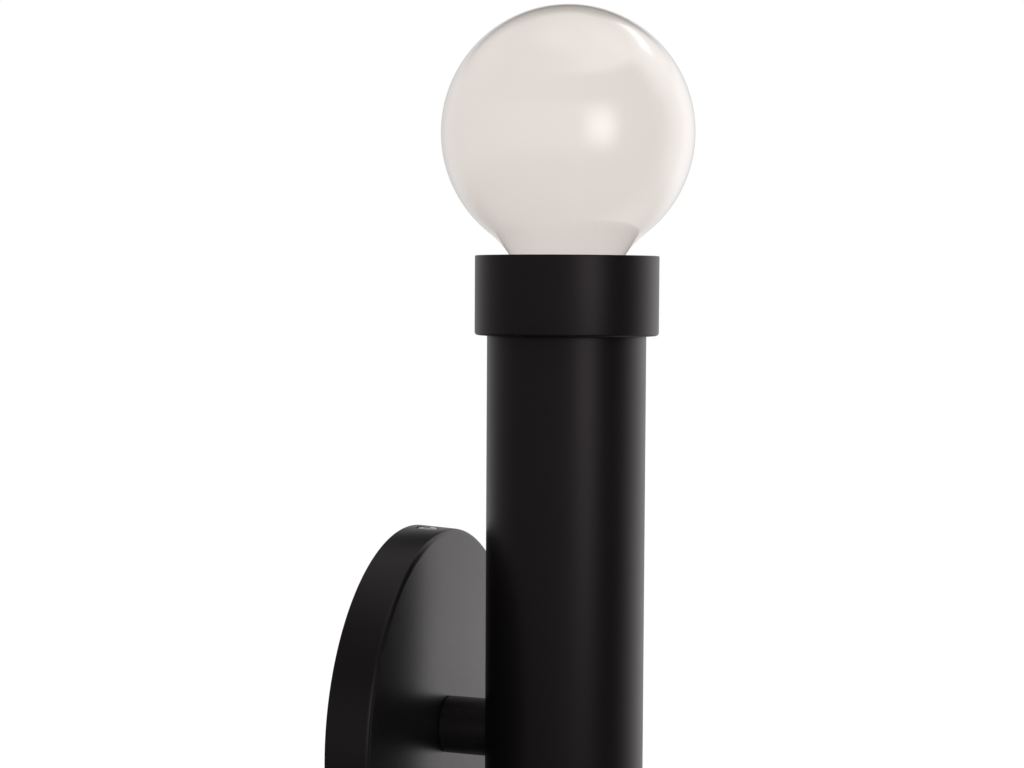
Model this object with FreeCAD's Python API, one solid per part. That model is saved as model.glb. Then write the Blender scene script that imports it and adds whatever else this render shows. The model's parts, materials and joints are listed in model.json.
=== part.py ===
import FreeCAD, Part
import math
import os
from FreeCAD import Vector

# A wall light: a round canopy on the wall, a short stem, and an upright tube that carries a collar and a
# globe bulb.  Millimetres, +Z up.  The origin is the centre of the canopy on the wall's surface, and the
# light stands out from the wall towards -Y, so a depth d in front of the wall is y = -d.

# ---- driving dimensions -------------------------------------------------------------------------------
TUBE_R = 25.0
TUBE_WALL = 1.5
TUBE_AXIS_DEPTH = 53.5          # wall to tube axis
TUBE_BOTTOM = -84.0             # underside of the cap that closes the tube
CAP_FLANGE = 2.0
CAP_EDGE_R = 0.8
CAP_SPIGOT_WALL = 1.8
CAP_SPIGOT_HEIGHT = 8.0

CANOPY_R = 63.75
CANOPY_DEPTH = 14.7
CANOPY_EDGE_R = 4.1
CANOPY_SHEET = 1.2

STEM_R = 9.1
STEM_CHAMFER = 0.5

COLLAR_R = 28.9
COLLAR_BOTTOM = 126.3
COLLAR_TOP = 151.2
COLLAR_WALL = 2.2
COLLAR_SEAT_DEPTH = 5.7         # how far the collar comes down over the tube's end
COLLAR_FLOOR = 2.5
COLLAR_LIP_R = 0.3              # crisp upper edge
COLLAR_FOOT_R = 1.0             # softer lower edge
COLLAR_BOWL_CORNER_R = 0.8

BULB_R = 39.7
BULB_CENTRE_Z = 189.5
GLASS = 0.8
NECK_R = 12.85                  # glass neck inside the screw base
NECK_CURVE_R = 30.7             # hollow curve between neck and globe
NECK_CURVE_Z = 134.2            # height where that curve turns straight

# ---- bracket and what fastens the canopy --------------------------------------------------------------
BRACKET_SHEET = 1.5
BRACKET_WIDTH = 20.0
BRACKET_END = 61.3              # outer face of the bent tabs, from the centre
BRACKET_TAB_DEPTH = 12.0
BRACKET_BEND_R = 2.3            # outside of the bends
BRACKET_MIDDLE_R = 18.0
BOX_SCREW_SPACING = 79.4        # between the two usual wall box spacings, 69.9 and 88.9
BOX_SLOT_LENGTH = 14.5
BOX_SLOT_R = 2.5
WIRE_HOLE_R = 10.0

CANOPY_SCREW_DEPTH = 6.4        # screw axis in front of the wall
CANOPY_SCREW_HOLE_R = 3.5
SCREW_HEAD_R = 3.2
SCREW_HEAD_HEIGHT = 2.1
SCREW_HEAD_EDGE_R = 0.6
SCREW_SOCKET_FLATS = 2.5
SCREW_SOCKET_DEPTH = 1.3
SCREW_R = 1.95
SCREW_LENGTH = 7.0

GROUND_AT = Vector(0, 0, -24)
GROUND_BOSS_R = 4.0
GROUND_BOSS_TOP = 3.5
GROUND_SCREW_R = 2.35
GROUND_SCREW_SHORT = 0.4        # its end stays this far inside the boss
GROUND_HEAD_R = 4.2
GROUND_HEAD_HEIGHT = 2.6
GROUND_SLOT = 1.2

# ---- threaded rods and what clamps them ---------------------------------------------------------------
NIPPLE_R = 4.85                 # hollow threaded rod, size 1/8
NIPPLE_BORE_R = 3.5
ROD_HOLE_R = 5.2                # clearance hole for the rod
THREAD_PLAY = 0.05
FIT_PLAY = 0.1
NUT_ACROSS_FLATS = 14.0
NUT_THICK = 3.6
WASHER_THICK = 0.8
WASHER_R = 9.0
WASHER_GAPS = 12
WASHER_GAP_WIDTH = 1.3
WASHER_GAP_DEPTH = 1.8
SADDLE_THICK = 3.0
ROD_TAIL_BACK = 1.0             # rod beyond the nut inside the canopy
ROD_TAIL = 1.6                  # rod beyond the nuts inside the tube
BUSHING_FLANGE_R = 4.7
BUSHING_FLANGE = 0.8
BUSHING_LENGTH = 2.5
BUSHING_MOUTH_R = 2.9

# ---- lampholder, with its heights ---------------------------------------------------------------------
BRIDGE_TOP = 82.0
BRIDGE_SHEET = 1.5
BRIDGE_RIM = 10.0
BRIDGE_BEND_R = 3.0
HOLDER_R = 20.0
HOLDER_WALL = 2.6
HOLDER_BOSS_R = 8.0
HOLDER_FLOOR_BOTTOM = 88.0
HOLDER_FLOOR_TOP = 90.5
HOLDER_FOOT_IN = 2.0            # how much narrower the cap is at its floor
HOLDER_FOOT_R = 2.5
HOLDER_CAVITY_R = 15.4
HOLDER_SPLIT = 104.0            # where skirt and cap part
HOLDER_SPIGOT_TOP = 108.3
HOLDER_MOUTH_R = 14.4
HOLDER_TOP = 141.5
HOLDER_LIP = 2.0
HOLDER_EDGE_R = 0.6
HOLDER_MOUTH_EDGE_R = 0.8
HOLDER_ROD_TOP = 87.5
INSULATOR_R = 17.2
INSULATOR_FOOT_R = 15.2
INSULATOR_BORE_R = 14.0
INSULATOR_FLOOR = 108.4
INSULATOR_FOOT = 104.5
INSULATOR_TOP = 139.3
CONTACT_R = 13.95
CONTACT_SHEET = 0.45
CONTACT_TOP = 137.0
CONTACT_WINDOW_R = 9.5
CONTACT_FOOT_R = 0.8
TONGUE_SHEET = 0.5
TONGUE_WIDTH = 5.0
TONGUE_PRESS = 0.25             # gap drawn between tongue and bulb tip
TERMINAL_R = 1.6
TERMINAL_LENGTH = 3.0
TERMINAL_X = 9.5
TERMINAL_HEAD_R = 2.9
TERMINAL_HEAD_HEIGHT = 2.2
TERMINAL_SLOT = 0.9
RING_R = 25.6
RING_HEIGHT = 5.0
RING_EDGE_R = 0.8
RING_GROOVES = 18
RING_GROOVE_R = 1.3
RING_GROOVE_OUT = 0.4           # groove centre outside the ring's edge

# ---- leads --------------------------------------------------------------------------------------------
LEAD_R = 1.05
LEAD_OFFSET = 1.25              # each lead beside the rod's centre line
LEAD_BEND_R = 12.0
LEAD_TURN_R = 4.4
LEAD_GAP = 0.2                  # between a lead and the bushing that it passes
LEAD_TERMINAL_X = 5.2           # each lead's end beside the tube's axis
LEAD_SEAT = 2.0
LEAD_HOLE_PLAY = 0.15
SPLICE_DEPTH = 6.8              # leads and wire nuts in front of the wall
SPLICE_MOUTH_X = 24.0
SPLICE_REACH = 6.0              # lead inside its wire nut
WIRE_NUT_LENGTH = 19.0
WIRE_NUT_MOUTH_R = 4.8
WIRE_NUT_TIP_R = 3.4
WIRE_NUT_TIP_ROUND = 1.4
WIRE_NUT_WALL = 1.2
WIRE_NUT_END = 4.0              # solid plastic at the closed end
WING_START = 1.5
WING_LENGTH = 9.0
WING_HEIGHT = 6.0
WING_THICK = 1.4

# ---- bulb base and filament ---------------------------------------------------------------------------
BASE_R = 13.25                  # screw base
BASE_SHEET = 0.3
BASE_TOP = 139.2
BASE_FLARE_R = 13.9
BASE_FLARE_HEIGHT = 2.7
BASE_BOTTOM = 115.0
BASE_FOOT_R = 1.5
BASE_WINDOW_R = 9.0
GLASS_FOOT_TOP_R = 10.8
GLASS_FOOT_PLUG_R = 8.8
GLASS_FOOT_PLUG_RISE = 2.5
GLASS_FOOT_GAP = 0.05
TIP_Z = 111.6
TIP_R = 4.6
TIP_DOME = 0.6
TIP_STALK_R = 2.05
STEM_PRESS_TOP = 160.0          # top of the glass that holds the filament supports
STEM_PRESS_R = 3.2
STEM_FLARE_R = 12.0
SUPPORT_R = 0.4
SUPPORT_FOOT_X = 1.6
SUPPORT_SPREAD = 10.0
SUPPORT_TOP = 190.0
FILAMENT_R = 0.5
FILAMENT_SAG = 2.6

# ---- worked out from the above ------------------------------------------------------------------------
TUBE_INNER_R = TUBE_R - TUBE_WALL
TUBE_FOOT = TUBE_BOTTOM + CAP_FLANGE
TUBE_END = COLLAR_BOTTOM + COLLAR_SEAT_DEPTH
COLLAR_SEAT_TOP = TUBE_END + COLLAR_FLOOR
CANOPY_INNER_FACE = CANOPY_DEPTH - CANOPY_SHEET
TUBE_BACK_DEPTH = TUBE_AXIS_DEPTH - TUBE_R            # nearest point of the tube to the wall
SADDLE_FLAT = TUBE_AXIS_DEPTH - TUBE_INNER_R + SADDLE_THICK
ROD_BACK = CANOPY_INNER_FACE - WASHER_THICK - NUT_THICK - ROD_TAIL_BACK
ROD_FRONT = SADDLE_FLAT + WASHER_THICK + NUT_THICK + ROD_TAIL
BRIDGE_UNDERSIDE = BRIDGE_TOP - BRIDGE_SHEET
HOLDER_ROD_BOTTOM = BRIDGE_UNDERSIDE - WASHER_THICK - NUT_THICK - ROD_TAIL
RIGHT = Vector(1, 0, 0)
UP = Vector(0, 0, 1)
OUTWARD = Vector(0, -1, 0)
WALL_CENTRE = Vector(0, 0, 0)
TUBE_AXIS = Vector(0, -TUBE_AXIS_DEPTH, 0)
FULL_TURN = 360
SAME_POINT = 1e-6


# ---- drawing helpers ----------------------------------------------------------------------------------
def at_tube(x, height):
    """A point beside the tube's axis, at a height."""
    return TUBE_AXIS + RIGHT * x + UP * height


def rounded_edges(points, closed=True):
    """Straight runs joined by tangent arcs; a point is (vector, corner radius)."""
    starts, ends, arcs = [], [], []
    count = len(points)
    for i, (corner, radius) in enumerate(points):
        if radius == 0 or (not closed and i in (0, count - 1)):
            starts.append(corner)
            ends.append(corner)
            arcs.append(None)
            continue
        back = (points[i - 1][0] - corner).normalize()
        ahead = (points[(i + 1) % count][0] - corner).normalize()
        half = back.getAngle(ahead) / 2
        reach = radius / math.tan(half)
        inward = (back + ahead).normalize()
        centre = corner + inward * (radius / math.sin(half))
        starts.append(corner + back * reach)
        ends.append(corner + ahead * reach)
        arcs.append(centre - inward * radius)
    edges = []
    for i in range(count):
        if arcs[i]:
            edges.append(Part.Arc(starts[i], arcs[i], ends[i]).toShape())
        last = not closed and i == count - 1
        following = starts[(i + 1) % count]
        if not last and ends[i].distanceToPoint(following) > SAME_POINT:
            edges.append(Part.LineSegment(ends[i], following).toShape())
    return edges


def spun(start, axis, *corners):
    """A solid turned about the axis through start; a corner is (radius, reach) or (radius, reach, round)."""
    side = RIGHT if abs(axis.x) < SAME_POINT else UP
    points = []
    for radius, reach, *corner_r in corners:
        points.append((start + side * radius + axis * reach, corner_r[0] if corner_r else 0))
    return Part.Face(Part.Wire(rounded_edges(points))).revolve(start, axis, FULL_TURN)


def turned(*corners):
    """A solid turned about the tube's axis from (radius, height) corners."""
    return spun(TUBE_AXIS, UP, *corners)


def turned_on_stem(*corners):
    """A solid turned about the stem's axis from (radius, depth) corners."""
    return spun(WALL_CENTRE, OUTWARD, *corners)


def piped(points, radius):
    """A round wire along straight runs joined by tangent arcs."""
    path = Part.Wire(rounded_edges(points, closed=False))
    circle = Part.Wire(Part.makeCircle(radius, points[0][0], points[1][0] - points[0][0]))
    return path.makePipeShell([circle], True, False)


def tube_between(radius, bore, start, axis, length):
    ring = Part.makeCylinder(radius, length, start, axis)
    return ring.cut(Part.makeCylinder(bore, length, start, axis))


def tube_space(radius):
    """The round space inside or round the upright tube, level with the stem."""
    return Part.makeCylinder(radius, TUBE_R * 2, TUBE_AXIS - UP * TUBE_R, UP)


def hexagon_prism(across_flats, thick, start, axis):
    side = axis.cross(RIGHT).normalize()
    other = axis.cross(side).normalize()
    corner_r = across_flats / 2 / math.cos(math.pi / 6)
    corners = []
    for i in range(6):
        angle = math.radians(60 * i)
        corners.append(start + side * (corner_r * math.cos(angle)) + other * (corner_r * math.sin(angle)))
    face = Part.Face(Part.makePolygon(corners + corners[:1]))
    return face.extrude(axis * thick)


# ---- on the wall --------------------------------------------------------------------------------------
def canopy():
    """Pressed dish with a soft front edge, a hole for the rod and a screw hole at top and bottom."""
    inner_r = CANOPY_R - CANOPY_SHEET
    dish = turned_on_stem(
        (ROD_HOLE_R, CANOPY_DEPTH),
        (CANOPY_R, CANOPY_DEPTH, CANOPY_EDGE_R),
        (CANOPY_R, 0),
        (inner_r, 0),
        (inner_r, CANOPY_INNER_FACE, CANOPY_EDGE_R - CANOPY_SHEET),
        (ROD_HOLE_R, CANOPY_INNER_FACE))
    foot = OUTWARD * CANOPY_SCREW_DEPTH - UP * CANOPY_R
    return dish.cut(Part.makeCylinder(CANOPY_SCREW_HOLE_R, CANOPY_R * 2, foot, UP))


def wall_bracket():
    """Steel strap with a round middle, a tab bent forward at each end and a slot each side."""
    inner = BRACKET_END - BRACKET_SHEET
    inner_bend_r = BRACKET_BEND_R - BRACKET_SHEET
    side_view = [
        (-BRACKET_END, BRACKET_TAB_DEPTH, 0),
        (-BRACKET_END, 0, BRACKET_BEND_R),
        (BRACKET_END, 0, BRACKET_BEND_R),
        (BRACKET_END, BRACKET_TAB_DEPTH, 0),
        (inner, BRACKET_TAB_DEPTH, 0),
        (inner, BRACKET_SHEET, inner_bend_r),
        (-inner, BRACKET_SHEET, inner_bend_r),
        (-inner, BRACKET_TAB_DEPTH, 0)]
    edge = -RIGHT * (BRACKET_WIDTH / 2)
    corners = [(edge + UP * height + OUTWARD * depth, bend) for height, depth, bend in side_view]
    strap = Part.Face(Part.Wire(rounded_edges(corners))).extrude(RIGHT * BRACKET_WIDTH)
    middle = Part.makeCylinder(BRACKET_MIDDLE_R, BRACKET_SHEET, WALL_CENTRE, OUTWARD)
    boss = Part.makeCylinder(GROUND_BOSS_R, GROUND_BOSS_TOP, GROUND_AT, OUTWARD)
    plate = strap.fuse(middle).fuse(boss).removeSplitter()
    plate = plate.cut(Part.makeCylinder(WIRE_HOLE_R, BRACKET_SHEET, WALL_CENTRE, OUTWARD))
    plate = plate.cut(Part.makeCylinder(GROUND_SCREW_R + THREAD_PLAY, GROUND_BOSS_TOP, GROUND_AT, OUTWARD))
    for side in (-1, 1):
        plate = plate.cut(box_slot(side * BOX_SCREW_SPACING / 2))
    tapped = OUTWARD * CANOPY_SCREW_DEPTH - UP * BRACKET_END
    return plate.cut(Part.makeCylinder(SCREW_R + THREAD_PLAY, BRACKET_END * 2, tapped, UP))


def box_slot(height):
    """The slot that a wall box screw goes through, along the strap."""
    straight = BOX_SLOT_LENGTH / 2 - BOX_SLOT_R
    corner = UP * (height - straight) - RIGHT * BOX_SLOT_R + OUTWARD * BRACKET_SHEET
    slot = Part.makeBox(BOX_SLOT_R * 2, BRACKET_SHEET, straight * 2, corner)
    for end in (-straight, straight):
        slot = slot.fuse(Part.makeCylinder(BOX_SLOT_R, BRACKET_SHEET, UP * (height + end), OUTWARD))
    return slot


def ground_screw():
    """Slotted screw in the strap's raised boss."""
    seat = GROUND_AT + OUTWARD * GROUND_BOSS_TOP
    head = Part.makeCylinder(GROUND_HEAD_R, GROUND_HEAD_HEIGHT, seat, OUTWARD)
    slot_corner = seat + OUTWARD * GROUND_HEAD_HEIGHT - RIGHT * GROUND_HEAD_R - UP * (GROUND_SLOT / 2)
    slot = Part.makeBox(GROUND_HEAD_R * 2, GROUND_SLOT, GROUND_SLOT, slot_corner)
    tail = GROUND_AT + OUTWARD * GROUND_SCREW_SHORT
    shank = Part.makeCylinder(GROUND_SCREW_R, GROUND_BOSS_TOP - GROUND_SCREW_SHORT, tail, OUTWARD)
    return head.cut(slot).fuse(shank).removeSplitter()


def canopy_screw(side):
    """Round-headed socket screw in a bracket tab, its head sunk in the canopy's rim; side is 1 on top."""
    way = UP * side
    seat = OUTWARD * CANOPY_SCREW_DEPTH + way * BRACKET_END
    body = spun(
        seat, way,
        (0, -SCREW_LENGTH),
        (SCREW_R, -SCREW_LENGTH),
        (SCREW_R, 0),
        (SCREW_HEAD_R, 0),
        (SCREW_HEAD_R, SCREW_HEAD_HEIGHT, SCREW_HEAD_EDGE_R),
        (0, SCREW_HEAD_HEIGHT))
    socket_floor = seat + way * (SCREW_HEAD_HEIGHT - SCREW_SOCKET_DEPTH)
    return body.cut(hexagon_prism(SCREW_SOCKET_FLATS, SCREW_SOCKET_DEPTH, socket_floor, way))


# ---- stem: sleeve, hollow rods and what clamps them ---------------------------------------------------
def stem_sleeve():
    """Round spacer; its front end is cut hollow so that it sits on the tube."""
    blank_front = TUBE_BACK_DEPTH + TUBE_R / 2
    sleeve = turned_on_stem(
        (ROD_HOLE_R, CANOPY_DEPTH),
        (STEM_R - STEM_CHAMFER, CANOPY_DEPTH),
        (STEM_R, CANOPY_DEPTH + STEM_CHAMFER),
        (STEM_R, blank_front),
        (ROD_HOLE_R, blank_front))
    return sleeve.cut(tube_space(TUBE_R))


def saddle_washer():
    """Flat on the nut's side, rounded to the inside of the tube on the other."""
    blank = tube_between(WASHER_R, NIPPLE_R + THREAD_PLAY, OUTWARD * TUBE_BACK_DEPTH, OUTWARD,
                         SADDLE_FLAT - TUBE_BACK_DEPTH)
    return blank.common(tube_space(TUBE_INNER_R))


def stem_nipple():
    return tube_between(NIPPLE_R, NIPPLE_BORE_R, OUTWARD * ROD_BACK, OUTWARD, ROD_FRONT - ROD_BACK)


def lampholder_nipple():
    return tube_between(NIPPLE_R, NIPPLE_BORE_R, at_tube(0, HOLDER_ROD_BOTTOM), UP,
                        HOLDER_ROD_TOP - HOLDER_ROD_BOTTOM)


def clamped_places():
    """Where a lock washer and nut clamp: name, the washer's seat, the rod's end, and the way along it."""
    return [
        ("canopy", OUTWARD * CANOPY_INNER_FACE, OUTWARD * ROD_BACK, -OUTWARD),
        ("tube", OUTWARD * SADDLE_FLAT, OUTWARD * ROD_FRONT, OUTWARD),
        ("bridge", at_tube(0, BRIDGE_UNDERSIDE), at_tube(0, HOLDER_ROD_BOTTOM), -UP)]


def lock_washer(seat, way):
    """A star washer with teeth round its edge."""
    washer = tube_between(WASHER_R, NIPPLE_R + THREAD_PLAY, WALL_CENTRE, UP, WASHER_THICK)
    corner = RIGHT * (WASHER_R - WASHER_GAP_DEPTH) - Vector(0, WASHER_GAP_WIDTH / 2, 0)
    for i in range(WASHER_GAPS):
        gap = Part.makeBox(WASHER_GAP_DEPTH * 2, WASHER_GAP_WIDTH, WASHER_THICK, corner)
        gap.rotate(WALL_CENTRE, UP, FULL_TURN / WASHER_GAPS * i)
        washer = washer.cut(gap)
    washer.Placement = FreeCAD.Placement(seat, FreeCAD.Rotation(UP, way))
    return washer


def hex_nut(seat, way):
    """A nut from its seat outwards, with the corners of both faces turned off."""
    flat_r = NUT_ACROSS_FLATS / 2
    corner_r = flat_r / math.cos(math.pi / 6)
    kept_r = (flat_r + corner_r) / 2
    nut = hexagon_prism(NUT_ACROSS_FLATS, NUT_THICK, seat, way)
    for face, inward in ((seat, way), (seat + way * NUT_THICK, -way)):
        cone = Part.makeCone(flat_r, flat_r + NUT_THICK * 2, NUT_THICK, face, inward)
        nut = nut.common(cone.fuse(Part.makeCylinder(kept_r, NUT_THICK, face, inward)))
    return nut.cut(Part.makeCylinder(NIPPLE_R + THREAD_PLAY, NUT_THICK, seat, way))


def nipple_bushing(end, way):
    """Plastic mouth on the end of a rod, which keeps the leads off its edge."""
    return spun(
        end, way,
        (BUSHING_MOUTH_R, -BUSHING_LENGTH),
        (NIPPLE_BORE_R - THREAD_PLAY, -BUSHING_LENGTH),
        (NIPPLE_BORE_R - THREAD_PLAY, 0),
        (BUSHING_FLANGE_R, 0),
        (BUSHING_FLANGE_R, BUSHING_FLANGE),
        (BUSHING_MOUTH_R, BUSHING_FLANGE))


def clamp_nodes():
    """The lock washer, nut and bushing of each clamped place, as nodes of their own."""
    made = {}
    for name, seat, rod_end, way in clamped_places():
        made["lock_washer_" + name] = lock_washer(seat, way)
        made["hex_nut_" + name] = hex_nut(seat + way * WASHER_THICK, way)
        made["nipple_bushing_" + name] = nipple_bushing(rod_end, way)
    return made


# ---- tube and collar ----------------------------------------------------------------------------------
def main_tube():
    tube = tube_between(TUBE_R, TUBE_INNER_R, at_tube(0, TUBE_FOOT), UP, TUBE_END - TUBE_FOOT)
    rod_hole = Part.makeCylinder(ROD_HOLE_R, TUBE_R, OUTWARD * (TUBE_BACK_DEPTH - TUBE_WALL), OUTWARD)
    return tube.cut(rod_hole)


def bottom_cap():
    """Push-in cap, flush with the tube, so that the nut inside can be reached."""
    spigot_r = TUBE_INNER_R - FIT_PLAY
    spigot_inner_r = spigot_r - CAP_SPIGOT_WALL
    spigot_top = TUBE_FOOT + CAP_SPIGOT_HEIGHT
    return turned(
        (0, TUBE_BOTTOM),
        (TUBE_R, TUBE_BOTTOM, CAP_EDGE_R),
        (TUBE_R, TUBE_FOOT),
        (spigot_r, TUBE_FOOT),
        (spigot_r, spigot_top),
        (spigot_inner_r, spigot_top),
        (spigot_inner_r, TUBE_FOOT),
        (0, TUBE_FOOT))


def collar():
    """Turned cup: a seat over the tube's end below, a floor, and an open bowl above."""
    seat_r = TUBE_R + FIT_PLAY
    floor_hole_r = HOLDER_R + FIT_PLAY * 3
    bowl_r = COLLAR_R - COLLAR_WALL
    return turned(
        (floor_hole_r, COLLAR_SEAT_TOP),
        (bowl_r, COLLAR_SEAT_TOP, COLLAR_BOWL_CORNER_R),
        (bowl_r, COLLAR_TOP),
        (COLLAR_R, COLLAR_TOP, COLLAR_LIP_R),
        (COLLAR_R, COLLAR_BOTTOM, COLLAR_FOOT_R),
        (seat_r, COLLAR_BOTTOM),
        (seat_r, TUBE_END),
        (floor_hole_r, TUBE_END))


def retaining_ring():
    """Ring on the lampholder's thread that clamps the collar, with finger grooves round its edge."""
    bore_r = HOLDER_R + THREAD_PLAY
    ring = turned(
        (bore_r, COLLAR_SEAT_TOP),
        (RING_R, COLLAR_SEAT_TOP),
        (RING_R, COLLAR_SEAT_TOP + RING_HEIGHT, RING_EDGE_R),
        (bore_r, COLLAR_SEAT_TOP + RING_HEIGHT))
    groove_centre_r = RING_R + RING_GROOVE_OUT
    for i in range(RING_GROOVES):
        angle = 2 * math.pi * (i + 0.5) / RING_GROOVES
        foot = at_tube(0, COLLAR_SEAT_TOP) + Vector(math.cos(angle), math.sin(angle), 0) * groove_centre_r
        ring = ring.cut(Part.makeCylinder(RING_GROOVE_R, RING_HEIGHT, foot, UP))
    return ring


# ---- lampholder ---------------------------------------------------------------------------------------
def socket_bridge():
    """Pressed cup across the inside of the tube, rim down, with a hole for the rod."""
    inner_r = TUBE_INNER_R - BRIDGE_SHEET
    rim_foot = BRIDGE_TOP - BRIDGE_RIM
    return turned(
        (ROD_HOLE_R, BRIDGE_TOP),
        (TUBE_INNER_R, BRIDGE_TOP, BRIDGE_BEND_R),
        (TUBE_INNER_R, rim_foot),
        (inner_r, rim_foot),
        (inner_r, BRIDGE_UNDERSIDE, BRIDGE_BEND_R - BRIDGE_SHEET),
        (ROD_HOLE_R, BRIDGE_UNDERSIDE))


def lampholder_cap():
    """Lower half: threaded boss, floor and the spigot that the skirt goes over."""
    spigot_r = HOLDER_R - HOLDER_WALL - FIT_PLAY
    rod_r = NIPPLE_R + THREAD_PLAY
    wire_hole_r = NIPPLE_BORE_R + FIT_PLAY
    return turned(
        (rod_r, BRIDGE_TOP),
        (HOLDER_BOSS_R, BRIDGE_TOP),
        (HOLDER_BOSS_R, HOLDER_FLOOR_BOTTOM),
        (HOLDER_R - HOLDER_FOOT_IN, HOLDER_FLOOR_BOTTOM, HOLDER_FOOT_R),
        (HOLDER_R, HOLDER_SPLIT),
        (spigot_r, HOLDER_SPLIT),
        (spigot_r, HOLDER_SPIGOT_TOP),
        (HOLDER_CAVITY_R, HOLDER_SPIGOT_TOP),
        (HOLDER_CAVITY_R, HOLDER_FLOOR_TOP),
        (wire_hole_r, HOLDER_FLOOR_TOP),
        (wire_hole_r, HOLDER_ROD_TOP),
        (rod_r, HOLDER_ROD_TOP))


def lampholder_skirt():
    """Upper half: threaded barrel with a lip over the insulator."""
    inner_r = HOLDER_R - HOLDER_WALL
    lip_underside = HOLDER_TOP - HOLDER_LIP
    return turned(
        (inner_r, HOLDER_SPLIT),
        (HOLDER_R, HOLDER_SPLIT),
        (HOLDER_R, HOLDER_TOP, HOLDER_EDGE_R),
        (HOLDER_MOUTH_R, HOLDER_TOP, HOLDER_MOUTH_EDGE_R),
        (HOLDER_MOUTH_R, lip_underside),
        (inner_r, lip_underside))


def terminal_seat(side):
    return at_tube(side * TERMINAL_X, INSULATOR_FOOT)


def lampholder_insulator():
    """Ceramic insert that holds the contacts apart."""
    body = turned(
        (0, INSULATOR_FOOT),
        (INSULATOR_FOOT_R, INSULATOR_FOOT),
        (INSULATOR_FOOT_R, INSULATOR_FLOOR),
        (INSULATOR_R, INSULATOR_FLOOR),
        (INSULATOR_R, INSULATOR_TOP),
        (INSULATOR_BORE_R, INSULATOR_TOP),
        (INSULATOR_BORE_R, INSULATOR_FLOOR),
        (0, INSULATOR_FLOOR))
    for side in (-1, 1):
        screw_hole = Part.makeCylinder(TERMINAL_R + THREAD_PLAY, TERMINAL_LENGTH, terminal_seat(side), UP)
        lead_end = at_tube(side * LEAD_TERMINAL_X, INSULATOR_FOOT)
        lead_hole = Part.makeCylinder(LEAD_R + LEAD_HOLE_PLAY, LEAD_SEAT + LEAD_GAP, lead_end, UP)
        body = body.cut(screw_hole).cut(lead_hole)
    return body


def terminal_screw(side):
    """Slotted screw under the insulator's floor, beside its lead."""
    seat = terminal_seat(side)
    head = Part.makeCylinder(TERMINAL_HEAD_R, TERMINAL_HEAD_HEIGHT, seat, -UP)
    slot_corner = seat - Vector(TERMINAL_HEAD_R, TERMINAL_SLOT / 2, TERMINAL_HEAD_HEIGHT)
    slot = Part.makeBox(TERMINAL_HEAD_R * 2, TERMINAL_SLOT, TERMINAL_SLOT, slot_corner)
    shank = Part.makeCylinder(TERMINAL_R, TERMINAL_LENGTH, seat, UP)
    return head.cut(slot).fuse(shank).removeSplitter()


def screw_contact():
    """Brass shell that takes the bulb's thread."""
    inner_r = CONTACT_R - CONTACT_SHEET
    floor = INSULATOR_FLOOR + CONTACT_SHEET
    return turned(
        (CONTACT_WINDOW_R, INSULATOR_FLOOR),
        (CONTACT_R, INSULATOR_FLOOR, CONTACT_FOOT_R),
        (CONTACT_R, CONTACT_TOP),
        (inner_r, CONTACT_TOP),
        (inner_r, floor),
        (CONTACT_WINDOW_R, floor))


def centre_contact():
    """Sprung bronze tongue, fixed near the insulator's edge and raised under the bulb's tip."""
    foot = INSULATOR_FLOOR + TONGUE_SHEET
    raised = TIP_Z - TONGUE_PRESS
    curl_end = raised - 1.0
    side_view = [(8.0, foot), (4.5, foot), (1.9, raised), (-1.9, raised), (-3.4, curl_end)]
    edge = TUBE_AXIS - RIGHT * (TONGUE_WIDTH / 2)
    upper = [edge - OUTWARD * back + UP * height for back, height in side_view]
    lower = [point - UP * TONGUE_SHEET for point in reversed(upper)]
    return Part.Face(Part.makePolygon(upper + lower + upper[:1])).extrude(RIGHT * TONGUE_WIDTH)


# ---- leads; side is -1 for the live one and 1 for the neutral -----------------------------------------
def lead(side):
    """One insulated lead: terminal, rod, down the tube, through the stem and aside in the canopy."""
    turn_depth = ROD_BACK - BUSHING_FLANGE - LEAD_GAP - LEAD_TURN_R
    beside = side * LEAD_OFFSET
    points = [
        (at_tube(side * LEAD_TERMINAL_X, INSULATOR_FOOT + LEAD_SEAT), 0),
        (at_tube(side * LEAD_TERMINAL_X, 100.5), 6),
        (at_tube(beside, 93.0), 8),
        (at_tube(beside, 0), LEAD_BEND_R),
        (Vector(beside, -turn_depth, 0), LEAD_TURN_R),
        (Vector(side * 12.0, -turn_depth, 0), 8),
        (Vector(side * 20.0, -SPLICE_DEPTH, 0), 8),
        (Vector(side * (SPLICE_MOUTH_X + SPLICE_REACH), -SPLICE_DEPTH, 0), 0)]
    return piped(points, LEAD_R)


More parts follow.
